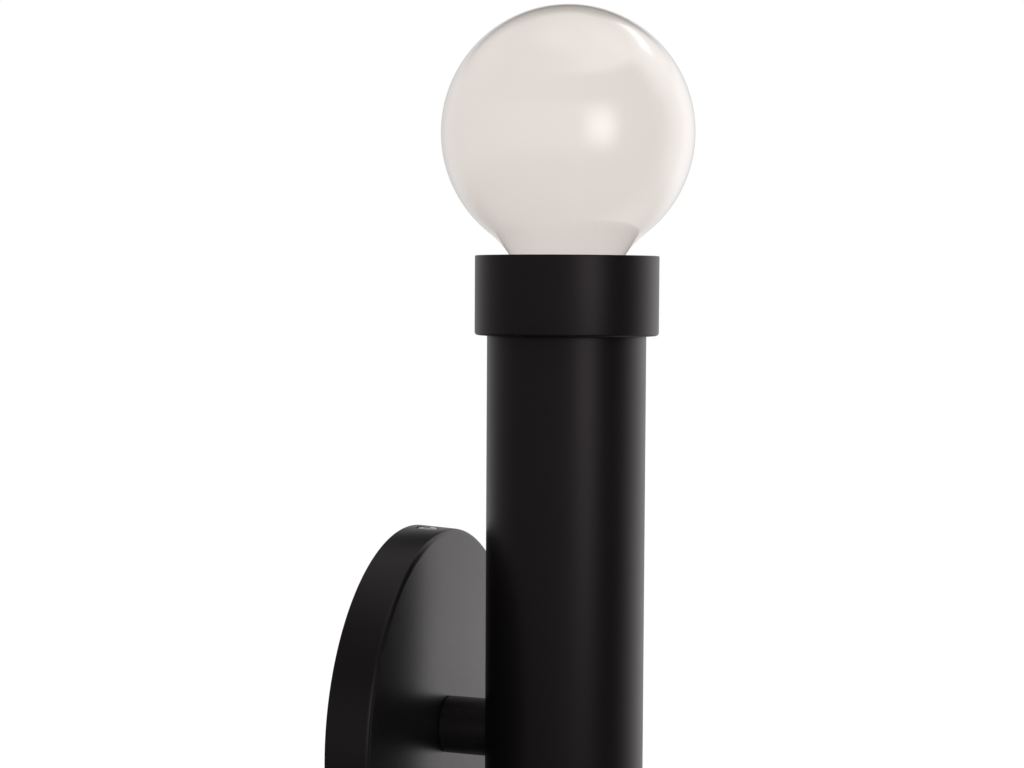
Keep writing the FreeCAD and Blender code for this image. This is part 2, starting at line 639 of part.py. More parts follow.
def wire_nut(side):
    """Twist-on cap with two wings, lying in the canopy with its mouth towards the stem."""
    way = RIGHT * side
    mouth = way * SPLICE_MOUTH_X + OUTWARD * SPLICE_DEPTH
    cavity_end = WIRE_NUT_LENGTH - WIRE_NUT_END
    shell = spun(
        mouth, way,
        (WIRE_NUT_MOUTH_R, 0),
        (WIRE_NUT_TIP_R, WIRE_NUT_LENGTH, WIRE_NUT_TIP_ROUND),
        (0, WIRE_NUT_LENGTH),
        (0, cavity_end),
        (WIRE_NUT_TIP_R - WIRE_NUT_WALL, cavity_end),
        (WIRE_NUT_MOUTH_R - WIRE_NUT_WALL, 0))
    hollow = Part.makeCone(WIRE_NUT_MOUTH_R - WIRE_NUT_WALL, WIRE_NUT_TIP_R - WIRE_NUT_WALL,
                           WIRE_NUT_LENGTH, mouth, way)
    wing_x = SPLICE_MOUTH_X + WING_START if side > 0 else -SPLICE_MOUTH_X - WING_START - WING_LENGTH
    wing_y = -SPLICE_DEPTH - WING_THICK / 2
    wing_rise = WING_HEIGHT - WIRE_NUT_TIP_R
    for foot in (WIRE_NUT_TIP_R, -WING_HEIGHT):
        wing = Part.makeBox(WING_LENGTH, WING_THICK, wing_rise, Vector(wing_x, wing_y, foot))
        shell = shell.fuse(wing.cut(hollow))
    return shell.removeSplitter()


# ---- bulb ---------------------------------------------------------------------------------------------
def glass_curve(inset):
    """The globe's outline from its top down to the neck, moved inwards by inset: edges, top and foot."""
    neck_centre_r = NECK_R + NECK_CURVE_R
    meeting = math.atan2(BULB_CENTRE_Z - NECK_CURVE_Z, neck_centre_r)
    globe_r = BULB_R - inset
    neck_curve_r = NECK_CURVE_R + inset

    def on_globe(angle):
        return at_tube(globe_r * math.cos(angle), BULB_CENTRE_Z - globe_r * math.sin(angle))

    def on_neck(angle):
        return at_tube(neck_centre_r - neck_curve_r * math.cos(angle),
                       NECK_CURVE_Z + neck_curve_r * math.sin(angle))

    top = -math.pi / 2
    globe = Part.Arc(on_globe(top), on_globe((top + meeting) / 2), on_globe(meeting))
    neck = Part.Arc(on_globe(meeting), on_neck(meeting / 2), on_neck(0))
    return [globe.toShape(), neck.toShape()], on_globe(top), on_neck(0)


def bulb_globe():
    """Thin glass globe with a waisted neck, open at the bottom."""
    outside, top, foot = glass_curve(0)
    inside, inner_top, inner_foot = glass_curve(GLASS)
    rim = Part.LineSegment(foot, inner_foot).toShape()
    crown = Part.LineSegment(inner_top, top).toShape()
    wire = Part.Wire(outside + [rim] + inside[::-1] + [crown])
    return Part.Face(wire).revolve(TUBE_AXIS, UP, FULL_TURN)


def bulb_screw_base():
    """Plated shell with a flared top; its lower edge turns in to the insulator."""
    flare_start = BASE_TOP - BASE_FLARE_HEIGHT
    inner_r = BASE_R - BASE_SHEET
    inner_foot = BASE_BOTTOM + BASE_SHEET
    return turned(
        (BASE_WINDOW_R, BASE_BOTTOM),
        (BASE_R, BASE_BOTTOM, BASE_FOOT_R),
        (BASE_R, flare_start),
        (BASE_FLARE_R, BASE_TOP),
        (BASE_FLARE_R - BASE_SHEET, BASE_TOP),
        (inner_r, flare_start),
        (inner_r, inner_foot, BASE_FOOT_R - BASE_SHEET),
        (BASE_WINDOW_R, inner_foot))


def bulb_base_insulator():
    """Dark glass cone between the shell and the tip."""
    foot = TIP_Z + TIP_DOME
    shoulder = BASE_BOTTOM - GLASS_FOOT_GAP
    plug_top = BASE_BOTTOM + GLASS_FOOT_PLUG_RISE
    hole_r = TIP_STALK_R + THREAD_PLAY
    return turned(
        (hole_r, foot),
        (TIP_R + 1.2, foot, 0.4),
        (GLASS_FOOT_TOP_R, shoulder),
        (GLASS_FOOT_PLUG_R, shoulder),
        (GLASS_FOOT_PLUG_R, plug_top),
        (hole_r, plug_top))


def bulb_tip_contact():
    """Domed solder tip with its stalk through the insulator."""
    dome_edge = TIP_Z + TIP_DOME
    stalk_top = BASE_BOTTOM + GLASS_FOOT_PLUG_RISE + 0.5
    dome = Part.Arc(at_tube(0, TIP_Z), at_tube(2.6, TIP_Z + 0.17), at_tube(TIP_R, dome_edge)).toShape()
    stalk = [at_tube(TIP_R, dome_edge), at_tube(TIP_STALK_R, dome_edge), at_tube(TIP_STALK_R, stalk_top),
             at_tube(0, stalk_top), at_tube(0, TIP_Z)]
    edges = [Part.LineSegment(a, b).toShape() for a, b in zip(stalk, stalk[1:])]
    return Part.Face(Part.Wire([dome] + edges)).revolve(TUBE_AXIS, UP, FULL_TURN)


def bulb_glass_stem():
    """Glass mount sealed into the neck, with a pressed top that holds the supports."""
    return turned(
        (STEM_FLARE_R - GLASS, NECK_CURVE_Z),
        (STEM_FLARE_R, NECK_CURVE_Z),
        (9.0, NECK_CURVE_Z + 3.5, 3),
        (4.6, NECK_CURVE_Z + 12, 6),
        (STEM_PRESS_R, STEM_PRESS_TOP, 1),
        (0, STEM_PRESS_TOP),
        (0, STEM_PRESS_TOP - 8),
        (3.4, NECK_CURVE_Z + 11),
        (8.0, NECK_CURVE_Z + 2.6, 3))


def filament_support(side):
    """Wire that rises from the glass, leans aside and ends upright."""
    bend_r = 4.0
    points = [
        (at_tube(side * SUPPORT_FOOT_X, STEM_PRESS_TOP), 0),
        (at_tube(side * SUPPORT_FOOT_X, STEM_PRESS_TOP + 5), bend_r),
        (at_tube(side * SUPPORT_SPREAD, SUPPORT_TOP - 6), bend_r),
        (at_tube(side * SUPPORT_SPREAD, SUPPORT_TOP), 0)]
    return piped(points, SUPPORT_R)


def filament():
    """The coiled wire between the supports, as a slim rod that lies on their tops and sags a little."""
    level = SUPPORT_TOP + FILAMENT_R
    end_x = SUPPORT_SPREAD + SUPPORT_R
    level_x = 7.0
    points = [
        (at_tube(-end_x, level), 0),
        (at_tube(-level_x, level), 5),
        (at_tube(0, level - FILAMENT_SAG), 9),
        (at_tube(level_x, level), 5),
        (at_tube(end_x, level), 0)]
    return piped(points, FILAMENT_R)


# ---- all nodes ----------------------------------------------------------------------------------------
def nodes():
    made = {
        "canopy": canopy(),
        "wall_bracket": wall_bracket(),
        "canopy_screw_top": canopy_screw(1),
        "canopy_screw_bottom": canopy_screw(-1),
        "ground_screw": ground_screw(),
        "stem_sleeve": stem_sleeve(),
        "stem_nipple": stem_nipple(),
        "saddle_washer": saddle_washer(),
        "main_tube": main_tube(),
        "bottom_cap": bottom_cap(),
        "collar": collar(),
        "retaining_ring": retaining_ring(),
        "socket_bridge": socket_bridge(),
        "lampholder_nipple": lampholder_nipple(),
        "lampholder_cap": lampholder_cap(),
        "lampholder_skirt": lampholder_skirt(),
        "lampholder_insulator": lampholder_insulator(),
        "screw_contact": screw_contact(),
        "centre_contact": centre_contact(),
        "bulb_globe": bulb_globe(),
        "bulb_screw_base": bulb_screw_base(),
        "bulb_base_insulator": bulb_base_insulator(),
        "bulb_tip_contact": bulb_tip_contact(),
        "bulb_glass_stem": bulb_glass_stem(),
        "filament": filament()}
    made.update(clamp_nodes())
    for name, side in (("live", -1), ("neutral", 1)):
        made["terminal_screw_" + name] = terminal_screw(side)
        made["lead_" + name] = lead(side)
        made["wire_nut_" + name] = wire_nut(side)
    for name, side in (("left", -1), ("right", 1)):
        made["filament_support_" + name] = filament_support(side)
    return made


def main():
    os.makedirs("parts", exist_ok=True)
    for name, shape in nodes().items():
        shape.exportStep("parts/" + name + ".step")


main()
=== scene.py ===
import bmesh
import bpy
import json
import math
from mathutils import Matrix, Vector


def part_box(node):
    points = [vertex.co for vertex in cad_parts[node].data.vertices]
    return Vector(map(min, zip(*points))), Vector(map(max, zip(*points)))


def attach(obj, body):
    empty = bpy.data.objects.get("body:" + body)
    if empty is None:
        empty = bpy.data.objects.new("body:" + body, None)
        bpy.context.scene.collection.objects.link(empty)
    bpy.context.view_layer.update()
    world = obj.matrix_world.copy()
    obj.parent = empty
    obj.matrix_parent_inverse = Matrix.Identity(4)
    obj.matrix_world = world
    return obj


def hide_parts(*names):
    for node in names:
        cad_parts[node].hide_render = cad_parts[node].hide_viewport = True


# A tube wall light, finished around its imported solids.  The frame is in metres, +Z up: the wall is the
# plane y = 0, the light stands out towards -Y, and the origin is the centre of the canopy.  Pieces are
# drawn in millimetres about an axis of their own, and a place turns them into the frame.
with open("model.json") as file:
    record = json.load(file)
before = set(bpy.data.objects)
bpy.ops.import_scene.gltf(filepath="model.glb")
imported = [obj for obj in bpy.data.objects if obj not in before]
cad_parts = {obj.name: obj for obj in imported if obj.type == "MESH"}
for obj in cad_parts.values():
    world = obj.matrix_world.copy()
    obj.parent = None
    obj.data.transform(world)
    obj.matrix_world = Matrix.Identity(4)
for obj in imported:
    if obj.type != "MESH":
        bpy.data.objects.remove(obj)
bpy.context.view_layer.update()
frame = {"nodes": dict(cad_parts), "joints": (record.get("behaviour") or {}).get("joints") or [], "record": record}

MM = 0.001
FULL_TURN = 2 * math.pi
RIGHT = Vector((1, 0, 0))
UP = Vector((0, 0, 1))
OUTWARD = Vector((0, -1, 0))

# ---- sizes read from the frame, in millimetres ----
record = frame["record"]
joints = {joint["name"]: joint for joint in frame["joints"]}
BODY_OF = {node: body for body, nodes in record["behaviour"]["bodies"].items() for node in nodes}


def box_mm(node):
    low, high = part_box(node)
    return low / MM, high / MM


def half_width(node):
    low, high = box_mm(node)
    return (high.x - low.x) / 2


def heights(node):
    low, high = box_mm(node)
    return low.z, high.z


def depths(node):
    """How far a node's back and front stand from the wall."""
    low, high = box_mm(node)
    return -high.y, -low.y


TUBE_DEPTH = -joints["bulb_turn"]["pos_m"][1] / MM
TUBE_R = half_width("main_tube")
TUBE_FOOT, TUBE_END = heights("main_tube")
CAP_FOOT, CAP_TOP = heights("bottom_cap")
COLLAR_R = half_width("collar")
COLLAR_FOOT, COLLAR_TOP = heights("collar")
CANOPY_R = half_width("canopy")
CANOPY_SCREW_DEPTH = sum(depths("canopy_screw_top")) / 2
STEM_R = half_width("stem_sleeve")
GLOBE_R = half_width("bulb_globe")
GLASS_FOOT, GLOBE_TOP = heights("bulb_globe")
GLOBE_CENTRE = GLOBE_TOP - GLOBE_R
BASE_FOOT, BASE_TOP = heights("bulb_screw_base")
BASE_FLARE_R = half_width("bulb_screw_base")
CONTACT_R = half_width("screw_contact")
CONTACT_FOOT, CONTACT_TOP = heights("screw_contact")
HOLDER_R = half_width("lampholder_skirt")
SKIRT_FOOT, SKIRT_TOP = heights("lampholder_skirt")
RING_R = half_width("retaining_ring")
RING_FOOT, RING_TOP = heights("retaining_ring")
NIPPLE_R = half_width("stem_nipple")

# ---- sizes inside the pieces, in millimetres ----
TUBE_WALL = 1.5
CAP_SPIGOT_WALL = 1.8
CAP_EDGE_R = 0.8
COLLAR_WALL = 2.2
COLLAR_FLOOR = 2.5
COLLAR_LIP_R = 0.3
COLLAR_FOOT_R = 1.0
CANOPY_SHEET = 1.2
CANOPY_SET_BACK = 0.7           # the dish is this much shallower than its solid
CANOPY_DEPTH = depths("canopy")[1] - CANOPY_SET_BACK
CANOPY_DRAW_IN = 0.75           # how much narrower the rim is at the face
CANOPY_EDGE_R = 1.6
CANOPY_SCREW_HOLE_R = 3.5
STEM_CHAMFER = 0.5
ROD_HOLE_R = 5.2
ROD_BORE_R = 3.5
GLASS = 0.8
NECK_R = 12.85
NECK_CURVE_R = 30.7
FIT_PLAY = 0.1
THREAD_PLAY = 0.05
TAB_PLAY = 0.3                  # keeps the tabs' corners off the canopy's narrowing rim

BULB_PITCH = 3.62857            # seven turns to the inch
BULB_THREAD_DEPTH = 0.8
BULB_THREAD_R = 13.25
ROD_PITCH = 0.94
ROD_THREAD_DEPTH = 0.4
HOLDER_PITCH = 2.5
HOLDER_THREAD_DEPTH = 0.5
SCREW_PITCH = 0.7
SCREW_THREAD_DEPTH = 0.32

ARC_STEPS = 6
SHARP_ANGLE = math.radians(28)
TINY = 1e-6
CREST_MATCH = 1e-3              # how near a wall's radius is to a crest that it carries


# ---- places: where a drawn piece's own axis and origin come to lie ----
def place(start, way):
    """Puts a piece's origin at start, in mm, and its own Z axis along way, both in the frame's axes."""
    turn = way.to_track_quat("Z", "Y").to_matrix().to_4x4()
    return Matrix.Translation(start * MM) @ turn @ Matrix.Scale(MM, 4)


def at_tube(x, height):
    return Vector((x, -TUBE_DEPTH, height))


ON_TUBE = Matrix.Translation(at_tube(0, 0) * MM) @ Matrix.Scale(MM, 4)
# Its X is the frame's, its Y is up, and its Z stands out from the wall.
FROM_WALL = Matrix(((MM, 0, 0, 0), (0, 0, -MM, 0), (0, MM, 0, 0), (0, 0, 0, 1)))
# Turns an outline's x upright and its y outward, with its straight sides running across.
SIDE_ON = Matrix(((0, 0, 1, 0), (1, 0, 0, 0), (0, 1, 0, 0), (0, 0, 0, 1)))


# ---- making meshes ----
def shaded(shape):
    """Smooth faces with crisp edges where the surface turns sharply."""
    for face in shape.faces:
        face.smooth = True
    for edge in shape.edges:
        edge.smooth = edge.calc_face_angle(0) < SHARP_ANGLE


def piece_from(name, shape):
    bmesh.ops.recalc_face_normals(shape, faces=shape.faces)
    shaded(shape)
    mesh = bpy.data.meshes.new(name)
    shape.to_mesh(mesh)
    shape.free()
    piece = bpy.data.objects.new(name, mesh)
    bpy.context.scene.collection.objects.link(piece)
    return piece


def skinned(name, rings, closed=True):
    """A shell over rings of points: one point makes a pole, and a closed shell joins end to start."""
    shape = bmesh.new()
    rows = [[shape.verts.new(point) for point in ring] for ring in rings]
    pairs = list(zip(rows, rows[1:]))
    if closed:
        pairs.append((rows[-1], rows[0]))
    for low, high in pairs:
        count = max(len(low), len(high))
        if count == 1:
            continue
        for i in range(count):
            j = (i + 1) % count
            corners = [low[i % len(low)], low[j % len(low)], high[j % len(high)], high[i % len(high)]]
            shape.faces.new(dict.fromkeys(corners))
    return piece_from(name, shape)


def rounded(corners):
    """(radius, reach) rows of an outline; a corner's third number is the radius that rounds it."""
    rows = []
    for i, (radius, reach, *corner_r) in enumerate(corners):
        here = Vector((radius, reach))
        if not corner_r:
            rows.append(here)
            continue
        back = (Vector(corners[i - 1][:2]) - here).normalized()
        ahead = (Vector(corners[(i + 1) % len(corners)][:2]) - here).normalized()
        half = back.angle(ahead) / 2
        centre = here + (back + ahead).normalized() * (corner_r[0] / math.sin(half))
        first = here + back * (corner_r[0] / math.tan(half)) - centre
        last = here + ahead * (corner_r[0] / math.tan(half)) - centre
        rows += [centre + first.slerp(last, step / ARC_STEPS) * corner_r[0]
                 for step in range(ARC_STEPS + 1)]
    return rows


def with_fine_rows(rows, low, high, step):
    """Extra rows between low and high on every upright stretch of an outline."""
    finer = []
    for here, following in zip(rows, rows[1:] + rows[:1]):
        finer.append(here)
        bottom = max(low, min(here.y, following.y))
        top = min(high, max(here.y, following.y))
        if abs(here.x - following.x) > TINY or top - bottom < step or here.x < step:
            continue
        count = math.ceil((top - bottom) / step)
        heights_between = [bottom + (top - bottom) * i / count for i in range(count + 1)]
        if following.y < here.y:
            heights_between.reverse()
        finer += [Vector((here.x, height)) for height in heights_between
                  if abs(height - here.y) > TINY and abs(height - following.y) > TINY]
    return finer


def ring_at(radius, reach, around, worked=None):
    if radius < TINY:
        return [Vector((0, 0, reach))]
    ring = []
    for i in range(around):
        angle = FULL_TURN * i / around
        reached = worked(radius, reach, angle) if worked else radius
        ring.append(Vector((reached * math.cos(angle), reached * math.sin(angle), reach)))
    return ring


def turned(name, corners, around=144, worked=None, fine=None):
    """A turned piece about its own Z axis from (radius, reach, corner radius) corners.

    worked(radius, reach, angle) is the radius that a thread or flat leaves; fine is (low, high, step).
    """
    rows = rounded(corners)
    if fine:
        rows = with_fine_rows(rows, *fine)
    on_axis = rows[0].x < TINY and rows[-1].x < TINY
    rings = [ring_at(row.x, row.y, around, worked) for row in rows]
    return skinned(name, rings, closed=not on_axis)


def thread(crests, pitch, depth, low, high, rounded_form=False):
    """The radius that a right-hand thread leaves on walls of the crest radii, run out at both ends."""
    def radius_at(radius, reach, angle):
        on_crest = any(abs(radius - crest) <= CREST_MATCH for crest in crests)
        if not on_crest or not low <= reach <= high:
            return radius
        turn = (reach / pitch - angle / FULL_TURN) % 1
        if rounded_form:
            groove = (1 - math.cos(FULL_TURN * turn)) / 2
        else:
            groove = 1 - abs(2 * turn - 1)
        run_out = min(1, (reach - low) / (pitch / 2), (high - reach) / (pitch / 2))
        return radius - depth * groove * run_out
    return radius_at


def settled(piece):
    """Makes what the modifiers give the piece's own plain mesh."""
    bpy.context.view_layer.update()
    depsgraph = bpy.context.evaluated_depsgraph_get()
    mesh = bpy.data.meshes.new_from_object(piece.evaluated_get(depsgraph))
    piece.modifiers.clear()
    piece.data = mesh
    shape = bmesh.new()
    shape.from_mesh(mesh)
    shaded(shape)
    shape.to_mesh(mesh)
    shape.free()
    return piece


def combined(piece, tools, operation):
    for tool in tools:
        change = piece.modifiers.new("with " + tool.name, "BOOLEAN")
        change.operation = operation
        change.solver = "EXACT"
        change.object = tool
    settled(piece)
    for tool in tools:
        bpy.data.objects.remove(tool)
    return piece


def cut_by(piece, *tools):
    return combined(piece, tools, "DIFFERENCE")


def fused_with(piece, *tools):
    return combined(piece, tools, "UNION")


def eased(piece, width, segments, above_angle):
    """Breaks the edges that are sharper than an angle in degrees."""
    ease = piece.modifiers.new("eased_edges", "BEVEL")
    ease.width = width
    ease.segments = segments
    ease.limit_method = "ANGLE"
    ease.angle_limit = math.radians(above_angle)
    return settled(piece)


def moved(piece, matrix):
    piece.data.transform(matrix)
    return piece


def plain_round(name, radius, low, high, around=64):
    return turned(name, [(0, low), (radius, low), (radius, high), (0, high)], around)


def plain_block(name, low, high):
    """A cutter or tooth with square corners, between two opposite corners in mm."""
    low, high = Vector(low), Vector(high)
    shape = bmesh.new()
    bmesh.ops.create_cube(shape, size=1)
    bmesh.ops.scale(shape, vec=high - low, verts=shape.verts)
    bmesh.ops.translate(shape, vec=(low + high) / 2, verts=shape.verts)
    return piece_from(name, shape)


def arc(middle, radius, start, end, steps=32):
    """(x, y) points of an arc between two angles."""
    angles = [start + (end - start) * i / steps for i in range(steps + 1)]
    return [(middle[0] + radius * math.cos(angle), middle[1] + radius * math.sin(angle))
            for angle in angles]


def prism(name, outline, low, high):
    """A straight-sided piece with the given (x, y) outline, from low to high along Z."""
    shape = bmesh.new()
    loops = [[shape.verts.new((x, y, reach)) for x, y in outline] for reach in (low, high)]
    for loop in loops:
        shape.faces.new(loop)
    for i in range(len(outline)):
        j = (i + 1) % len(outline)
        shape.faces.new((loops[0][i], loops[0][j], loops[1][j], loops[1][i]))
    return piece_from(name, shape)


def hexagon_bar(name, across_flats, low, high):
    corner_r = across_flats / 2 / math.cos(math.pi / 6)
    return plain_round(name, corner_r, low, high, around=6)


# ---- nodes ----
def feed(tree, node, values):
    """Gives a node's sockets, by name or number, their values; a value that is a socket is linked."""
    for socket, value in values.items():
        if isinstance(value, bpy.types.NodeSocket):
            tree.links.new(value, node.inputs[socket])
        else:
            node.inputs[socket].default_value = value


def add(tree, kind, values=None, **settings):
    """A new node with its settings made and its sockets fed."""
    made = tree.nodes.new(kind)
    for name, value in settings.items():
        setattr(made, name, value)
    feed(tree, made, values or {})
    return made


def calculated(tree, operation, *values):
    return add(tree, "ShaderNodeMath", dict(enumerate(values)), operation=operation).outputs[0]


def ranged(tree, value, low, high, start=0.0, end=1.0, **settings):
    """The value, carried over from start..end to low..high."""
    return add(tree, "ShaderNodeMapRange", {
        "Value": value, "From Min": start, "From Max": end, "To Min": low, "To Max": high},
        **settings).outputs[0]


# ---- repeats round an axis, made with geometry nodes ----
def copies_tree(operation):
    """A tree that sets copies of a shape evenly round Z and cuts them from the piece or fuses them."""
    tree = bpy.data.node_groups.new("copies_round_axis_" + operation.lower(), "GeometryNodeTree")
    kinds = {"Geometry": "Geometry", "Shape": "Object", "Count": "Int", "Finish": "Material"}
    sockets = {name: tree.interface.new_socket(name, in_out="INPUT", socket_type="NodeSocket" + kind)
               for name, kind in kinds.items()}
    tree.interface.new_socket("Geometry", in_out="OUTPUT", socket_type="NodeSocketGeometry")
    given = add(tree, "NodeGroupInput").outputs
    shape = add(tree, "GeometryNodeObjectInfo", {"Object": given["Shape"]})
    points = add(tree, "GeometryNodePoints", {"Count": given["Count"]})
    step = calculated(tree, "DIVIDE", FULL_TURN, given["Count"])
    index = add(tree, "GeometryNodeInputIndex").outputs[0]
    euler = add(tree, "ShaderNodeCombineXYZ", {"Z": calculated(tree, "MULTIPLY", index, step)})
    turn = add(tree, "FunctionNodeEulerToRotation", {0: euler.outputs[0]})
    copies = add(tree, "GeometryNodeInstanceOnPoints", {
        "Points": points.outputs[0], "Instance": shape.outputs["Geometry"],
        "Rotation": turn.outputs[0]})
    real = add(tree, "GeometryNodeRealizeInstances", {"Geometry": copies.outputs[0]})
    result = add(tree, "GeometryNodeMeshBoolean", operation=operation, solver="EXACT")
    piece_socket = "Mesh 1" if operation == "DIFFERENCE" else "Mesh 2"
    feed(tree, result, {piece_socket: given["Geometry"]})
    feed(tree, result, {"Mesh 2": real.outputs[0]})
    finish = add(tree, "GeometryNodeSetMaterial", {
        "Geometry": result.outputs[0], "Material": given["Finish"]})
    add(tree, "NodeGroupOutput", {"Geometry": finish.outputs[0]})
    return tree, {name: socket.identifier for name, socket in sockets.items()}


COPIES = {operation: copies_tree(operation) for operation in ("DIFFERENCE", "UNION")}


def repeated(piece, shape, count, operation, finish):
    """Cuts or fuses count copies of a shape round the piece's own Z axis."""
    tree, sockets = COPIES[operation]
    change = piece.modifiers.new("repeats", "NODES")
    change.node_group = tree
    change[sockets["Shape"]] = shape
    change[sockets["Count"]] = count
    change[sockets["Finish"]] = finish
    settled(piece)
    bpy.data.objects.remove(shape)
    return piece


# ---- effects that several finishes share ----
def effect_group(name, inputs, outputs):
    tree = bpy.data.node_groups.new(name, "ShaderNodeTree")
    for socket, start in inputs.items():
        made = tree.interface.new_socket(socket, in_out="INPUT", socket_type="NodeSocketFloat")
        made.default_value = start
    for socket in outputs:
        tree.interface.new_socket(socket, in_out="OUTPUT", socket_type="NodeSocketFloat")
    return tree, add(tree, "NodeGroupInput").outputs


def per_mm(tree, size):
    """Object coordinates counted in grains of the given size in millimetres."""
    spot = add(tree, "ShaderNodeTexCoord").outputs["Object"]
    count = calculated(tree, "DIVIDE", 1 / MM, size)
    return add(tree, "ShaderNodeVectorMath", {0: spot, "Scale": count}, operation="SCALE").outputs[0]


def noise(tree, size, **look):
    """Noise in grains of the given size in millimetres."""
    return add(tree, "ShaderNodeTexNoise", {
        "Vector": per_mm(tree, size), "Scale": 1.0, **look}).outputs[0]


def grain_effect():
    """Even fine grain, as of powder paint or moulded plastic: its height and a slow change of tone."""
    tree, given = effect_group("grain", {"Grain mm": 0.5, "Patch mm": 18.0}, ("Height", "Tone"))
    add(tree, "NodeGroupOutput", {
        "Height": noise(tree, given["Grain mm"], Detail=2.0, Roughness=0.55),
        "Tone": noise(tree, given["Patch mm"], Detail=3.0, Roughness=0.5)})
    return tree


def handling_effect():
    """Where hands and packing have touched: broad soft smears and a few hair-fine scratches."""
    tree, given = effect_group(
        "handling", {"Smear mm": 26.0, "Scratch mm": 9.0}, ("Smear", "Scratch"))
    smear = noise(tree, given["Smear mm"], Detail=4.0, Distortion=0.6)
    lines = noise(tree, given["Scratch mm"], Detail=1.0, Distortion=2.5)
    from_line = calculated(tree, "ABSOLUTE", calculated(tree, "SUBTRACT", lines, 0.5))
    add(tree, "NodeGroupOutput", {
        "Smear": ranged(tree, smear, 0, 1, 0.48, 0.72, interpolation_type="SMOOTHSTEP"),
        "Scratch": ranged(tree, from_line, 1, 0, 0, 0.004)})
    return tree


def worn_edge_effect():
    """Rubbed outer corners, broken up so that the line isn't even."""
    tree, given = effect_group("worn_edges", {"Width": 0.06, "Break mm": 1.5}, ("Mask",))
    corner = add(tree, "ShaderNodeNewGeometry").outputs["Pointiness"]
    flat = 0.5
    edge = ranged(tree, corner, 0, 1, flat, calculated(tree, "ADD", flat, given["Width"]),
                  interpolation_type="SMOOTHSTEP")
    broken = noise(tree, given["Break mm"], Detail=3.0)
    add(tree, "NodeGroupOutput", {"Mask": calculated(tree, "MULTIPLY", edge, broken)})
    return tree


def tool_line_effect():
    """Fine lines that rolling, turning or drawing leaves, running across the given direction."""
    tree, given = effect_group(
        "tool_lines", {"Line mm": 0.25, "Along X": 0.02, "Along Y": 0.02, "Along Z": 1.0}, ("Height",))
    shares = add(tree, "ShaderNodeCombineXYZ", {axis: given["Along " + axis] for axis in "XYZ"})
    stretched = add(tree, "ShaderNodeVectorMath", {
        0: per_mm(tree, given["Line mm"]), 1: shares.outputs[0]}, operation="MULTIPLY")
    lines = add(tree, "ShaderNodeTexNoise", {
        "Vector": stretched.outputs[0], "Scale": 1.0, "Detail": 2.0})
    add(tree, "NodeGroupOutput", {"Height": lines.outputs[0]})
    return tree


GRAIN = grain_effect()
HANDLING = handling_effect()
WORN_EDGES = worn_edge_effect()
TOOL_LINES = tool_line_effect()


# ---- finishes ----
def new_finish(name):
    finish = bpy.data.materials.new(name)
    finish.use_nodes = True
    return finish, finish.node_tree, finish.node_tree.nodes["Principled BSDF"]


def effect(tree, group, **values):
    """A shared effect's outputs; each value's name is its socket's, with _ for a space."""
    sockets = {name.replace("_", " "): value for name, value in values.items()}
    made = add(tree, "ShaderNodeGroup", node_tree=group)
    feed(tree, made, sockets)
    return made.outputs


def blend_colour(tree, share, first, second):
    """A mix of two colours, each a socket or three numbers."""
    first, second = (end if isinstance(end, bpy.types.NodeSocket) else (*end, 1)
                     for end in (first, second))
    return add(tree, "ShaderNodeMix", {0: share, 6: first, 7: second}, data_type="RGBA").outputs[2]


def summed(tree, value, *terms):
    """The value plus each term times its share."""
    for term, share in terms:
        value = calculated(tree, "MULTIPLY_ADD", term, share, value)
    return value


def raised(tree, height, strength, distance_mm):
    return add(tree, "ShaderNodeBump", {
        "Height": height, "Strength": strength, "Distance": distance_mm * MM}).outputs[0]


def satin_black_paint():
    """Powder coat: nearly black with a faint warm sheen and an even satin grain, rubbed at edges."""
    finish, tree, shader = new_finish("satin_black_paint")
    grain = effect(tree, GRAIN, Grain_mm=0.35, Patch_mm=22)
    touched = effect(tree, HANDLING, Smear_mm=30, Scratch_mm=14)
    worn = effect(tree, WORN_EDGES, Width=0.08, Break_mm=1.2)
    deep = blend_colour(tree, grain["Tone"], (0.0015, 0.0013, 0.0014), (0.0024, 0.0021, 0.0022))
    feed(tree, shader, {
        "Base Color": blend_colour(tree, worn["Mask"], deep, (0.01, 0.0093, 0.0096)),
        "Roughness": summed(tree, ranged(tree, grain["Tone"], 0.34, 0.375),
                            (touched["Smear"], -0.02), (touched["Scratch"], 0.02),
                            (worn["Mask"], -0.06)),
        "IOR": 1.56,
        "Specular Tint": (1.0, 0.87, 0.92, 1),
        "Normal": raised(tree, grain["Height"], 0.25, 0.012)})
    return finish


def opal_glass():
    """White opal coat under clear polished glass, a touch warmer where the coat is thicker.

    Where its surroundings shade it, the glass emits its own colour: a painted glow that fills in the shade.
    """
    finish, tree, shader = new_finish("opal_glass")
    grain = effect(tree, GRAIN, Grain_mm=6, Patch_mm=34)
    touched = effect(tree, HANDLING, Smear_mm=20, Scratch_mm=30)
    coat = blend_colour(tree, grain["Tone"], (0.93, 0.853, 0.797), (0.916, 0.85, 0.807))
    # Painted light: the emission below brightens the globe where ambient occlusion finds the collar and tube
    # shading it.
    reach_mm, painted_glow_share = 120, 0.8
    open_share = add(tree, "ShaderNodeAmbientOcclusion", {"Distance": reach_mm * MM}).outputs["AO"]
    glow = ranged(tree, open_share, 0, painted_glow_share, 1, 0)
    feed(tree, shader, {
        "Base Color": coat,
        "Roughness": ranged(tree, touched["Smear"], 0.03, 0.055),
        "IOR": 1.5,
        "Coat Weight": 1.0,
        "Coat Roughness": 0.01,
        "Coat IOR": 2.3,
        "Emission Color": blend_colour(tree, glow, (0, 0, 0), coat),
        "Emission Strength": 1.0,
        "Normal": raised(tree, grain["Height"], 0.12, 0.02)})
    return finish


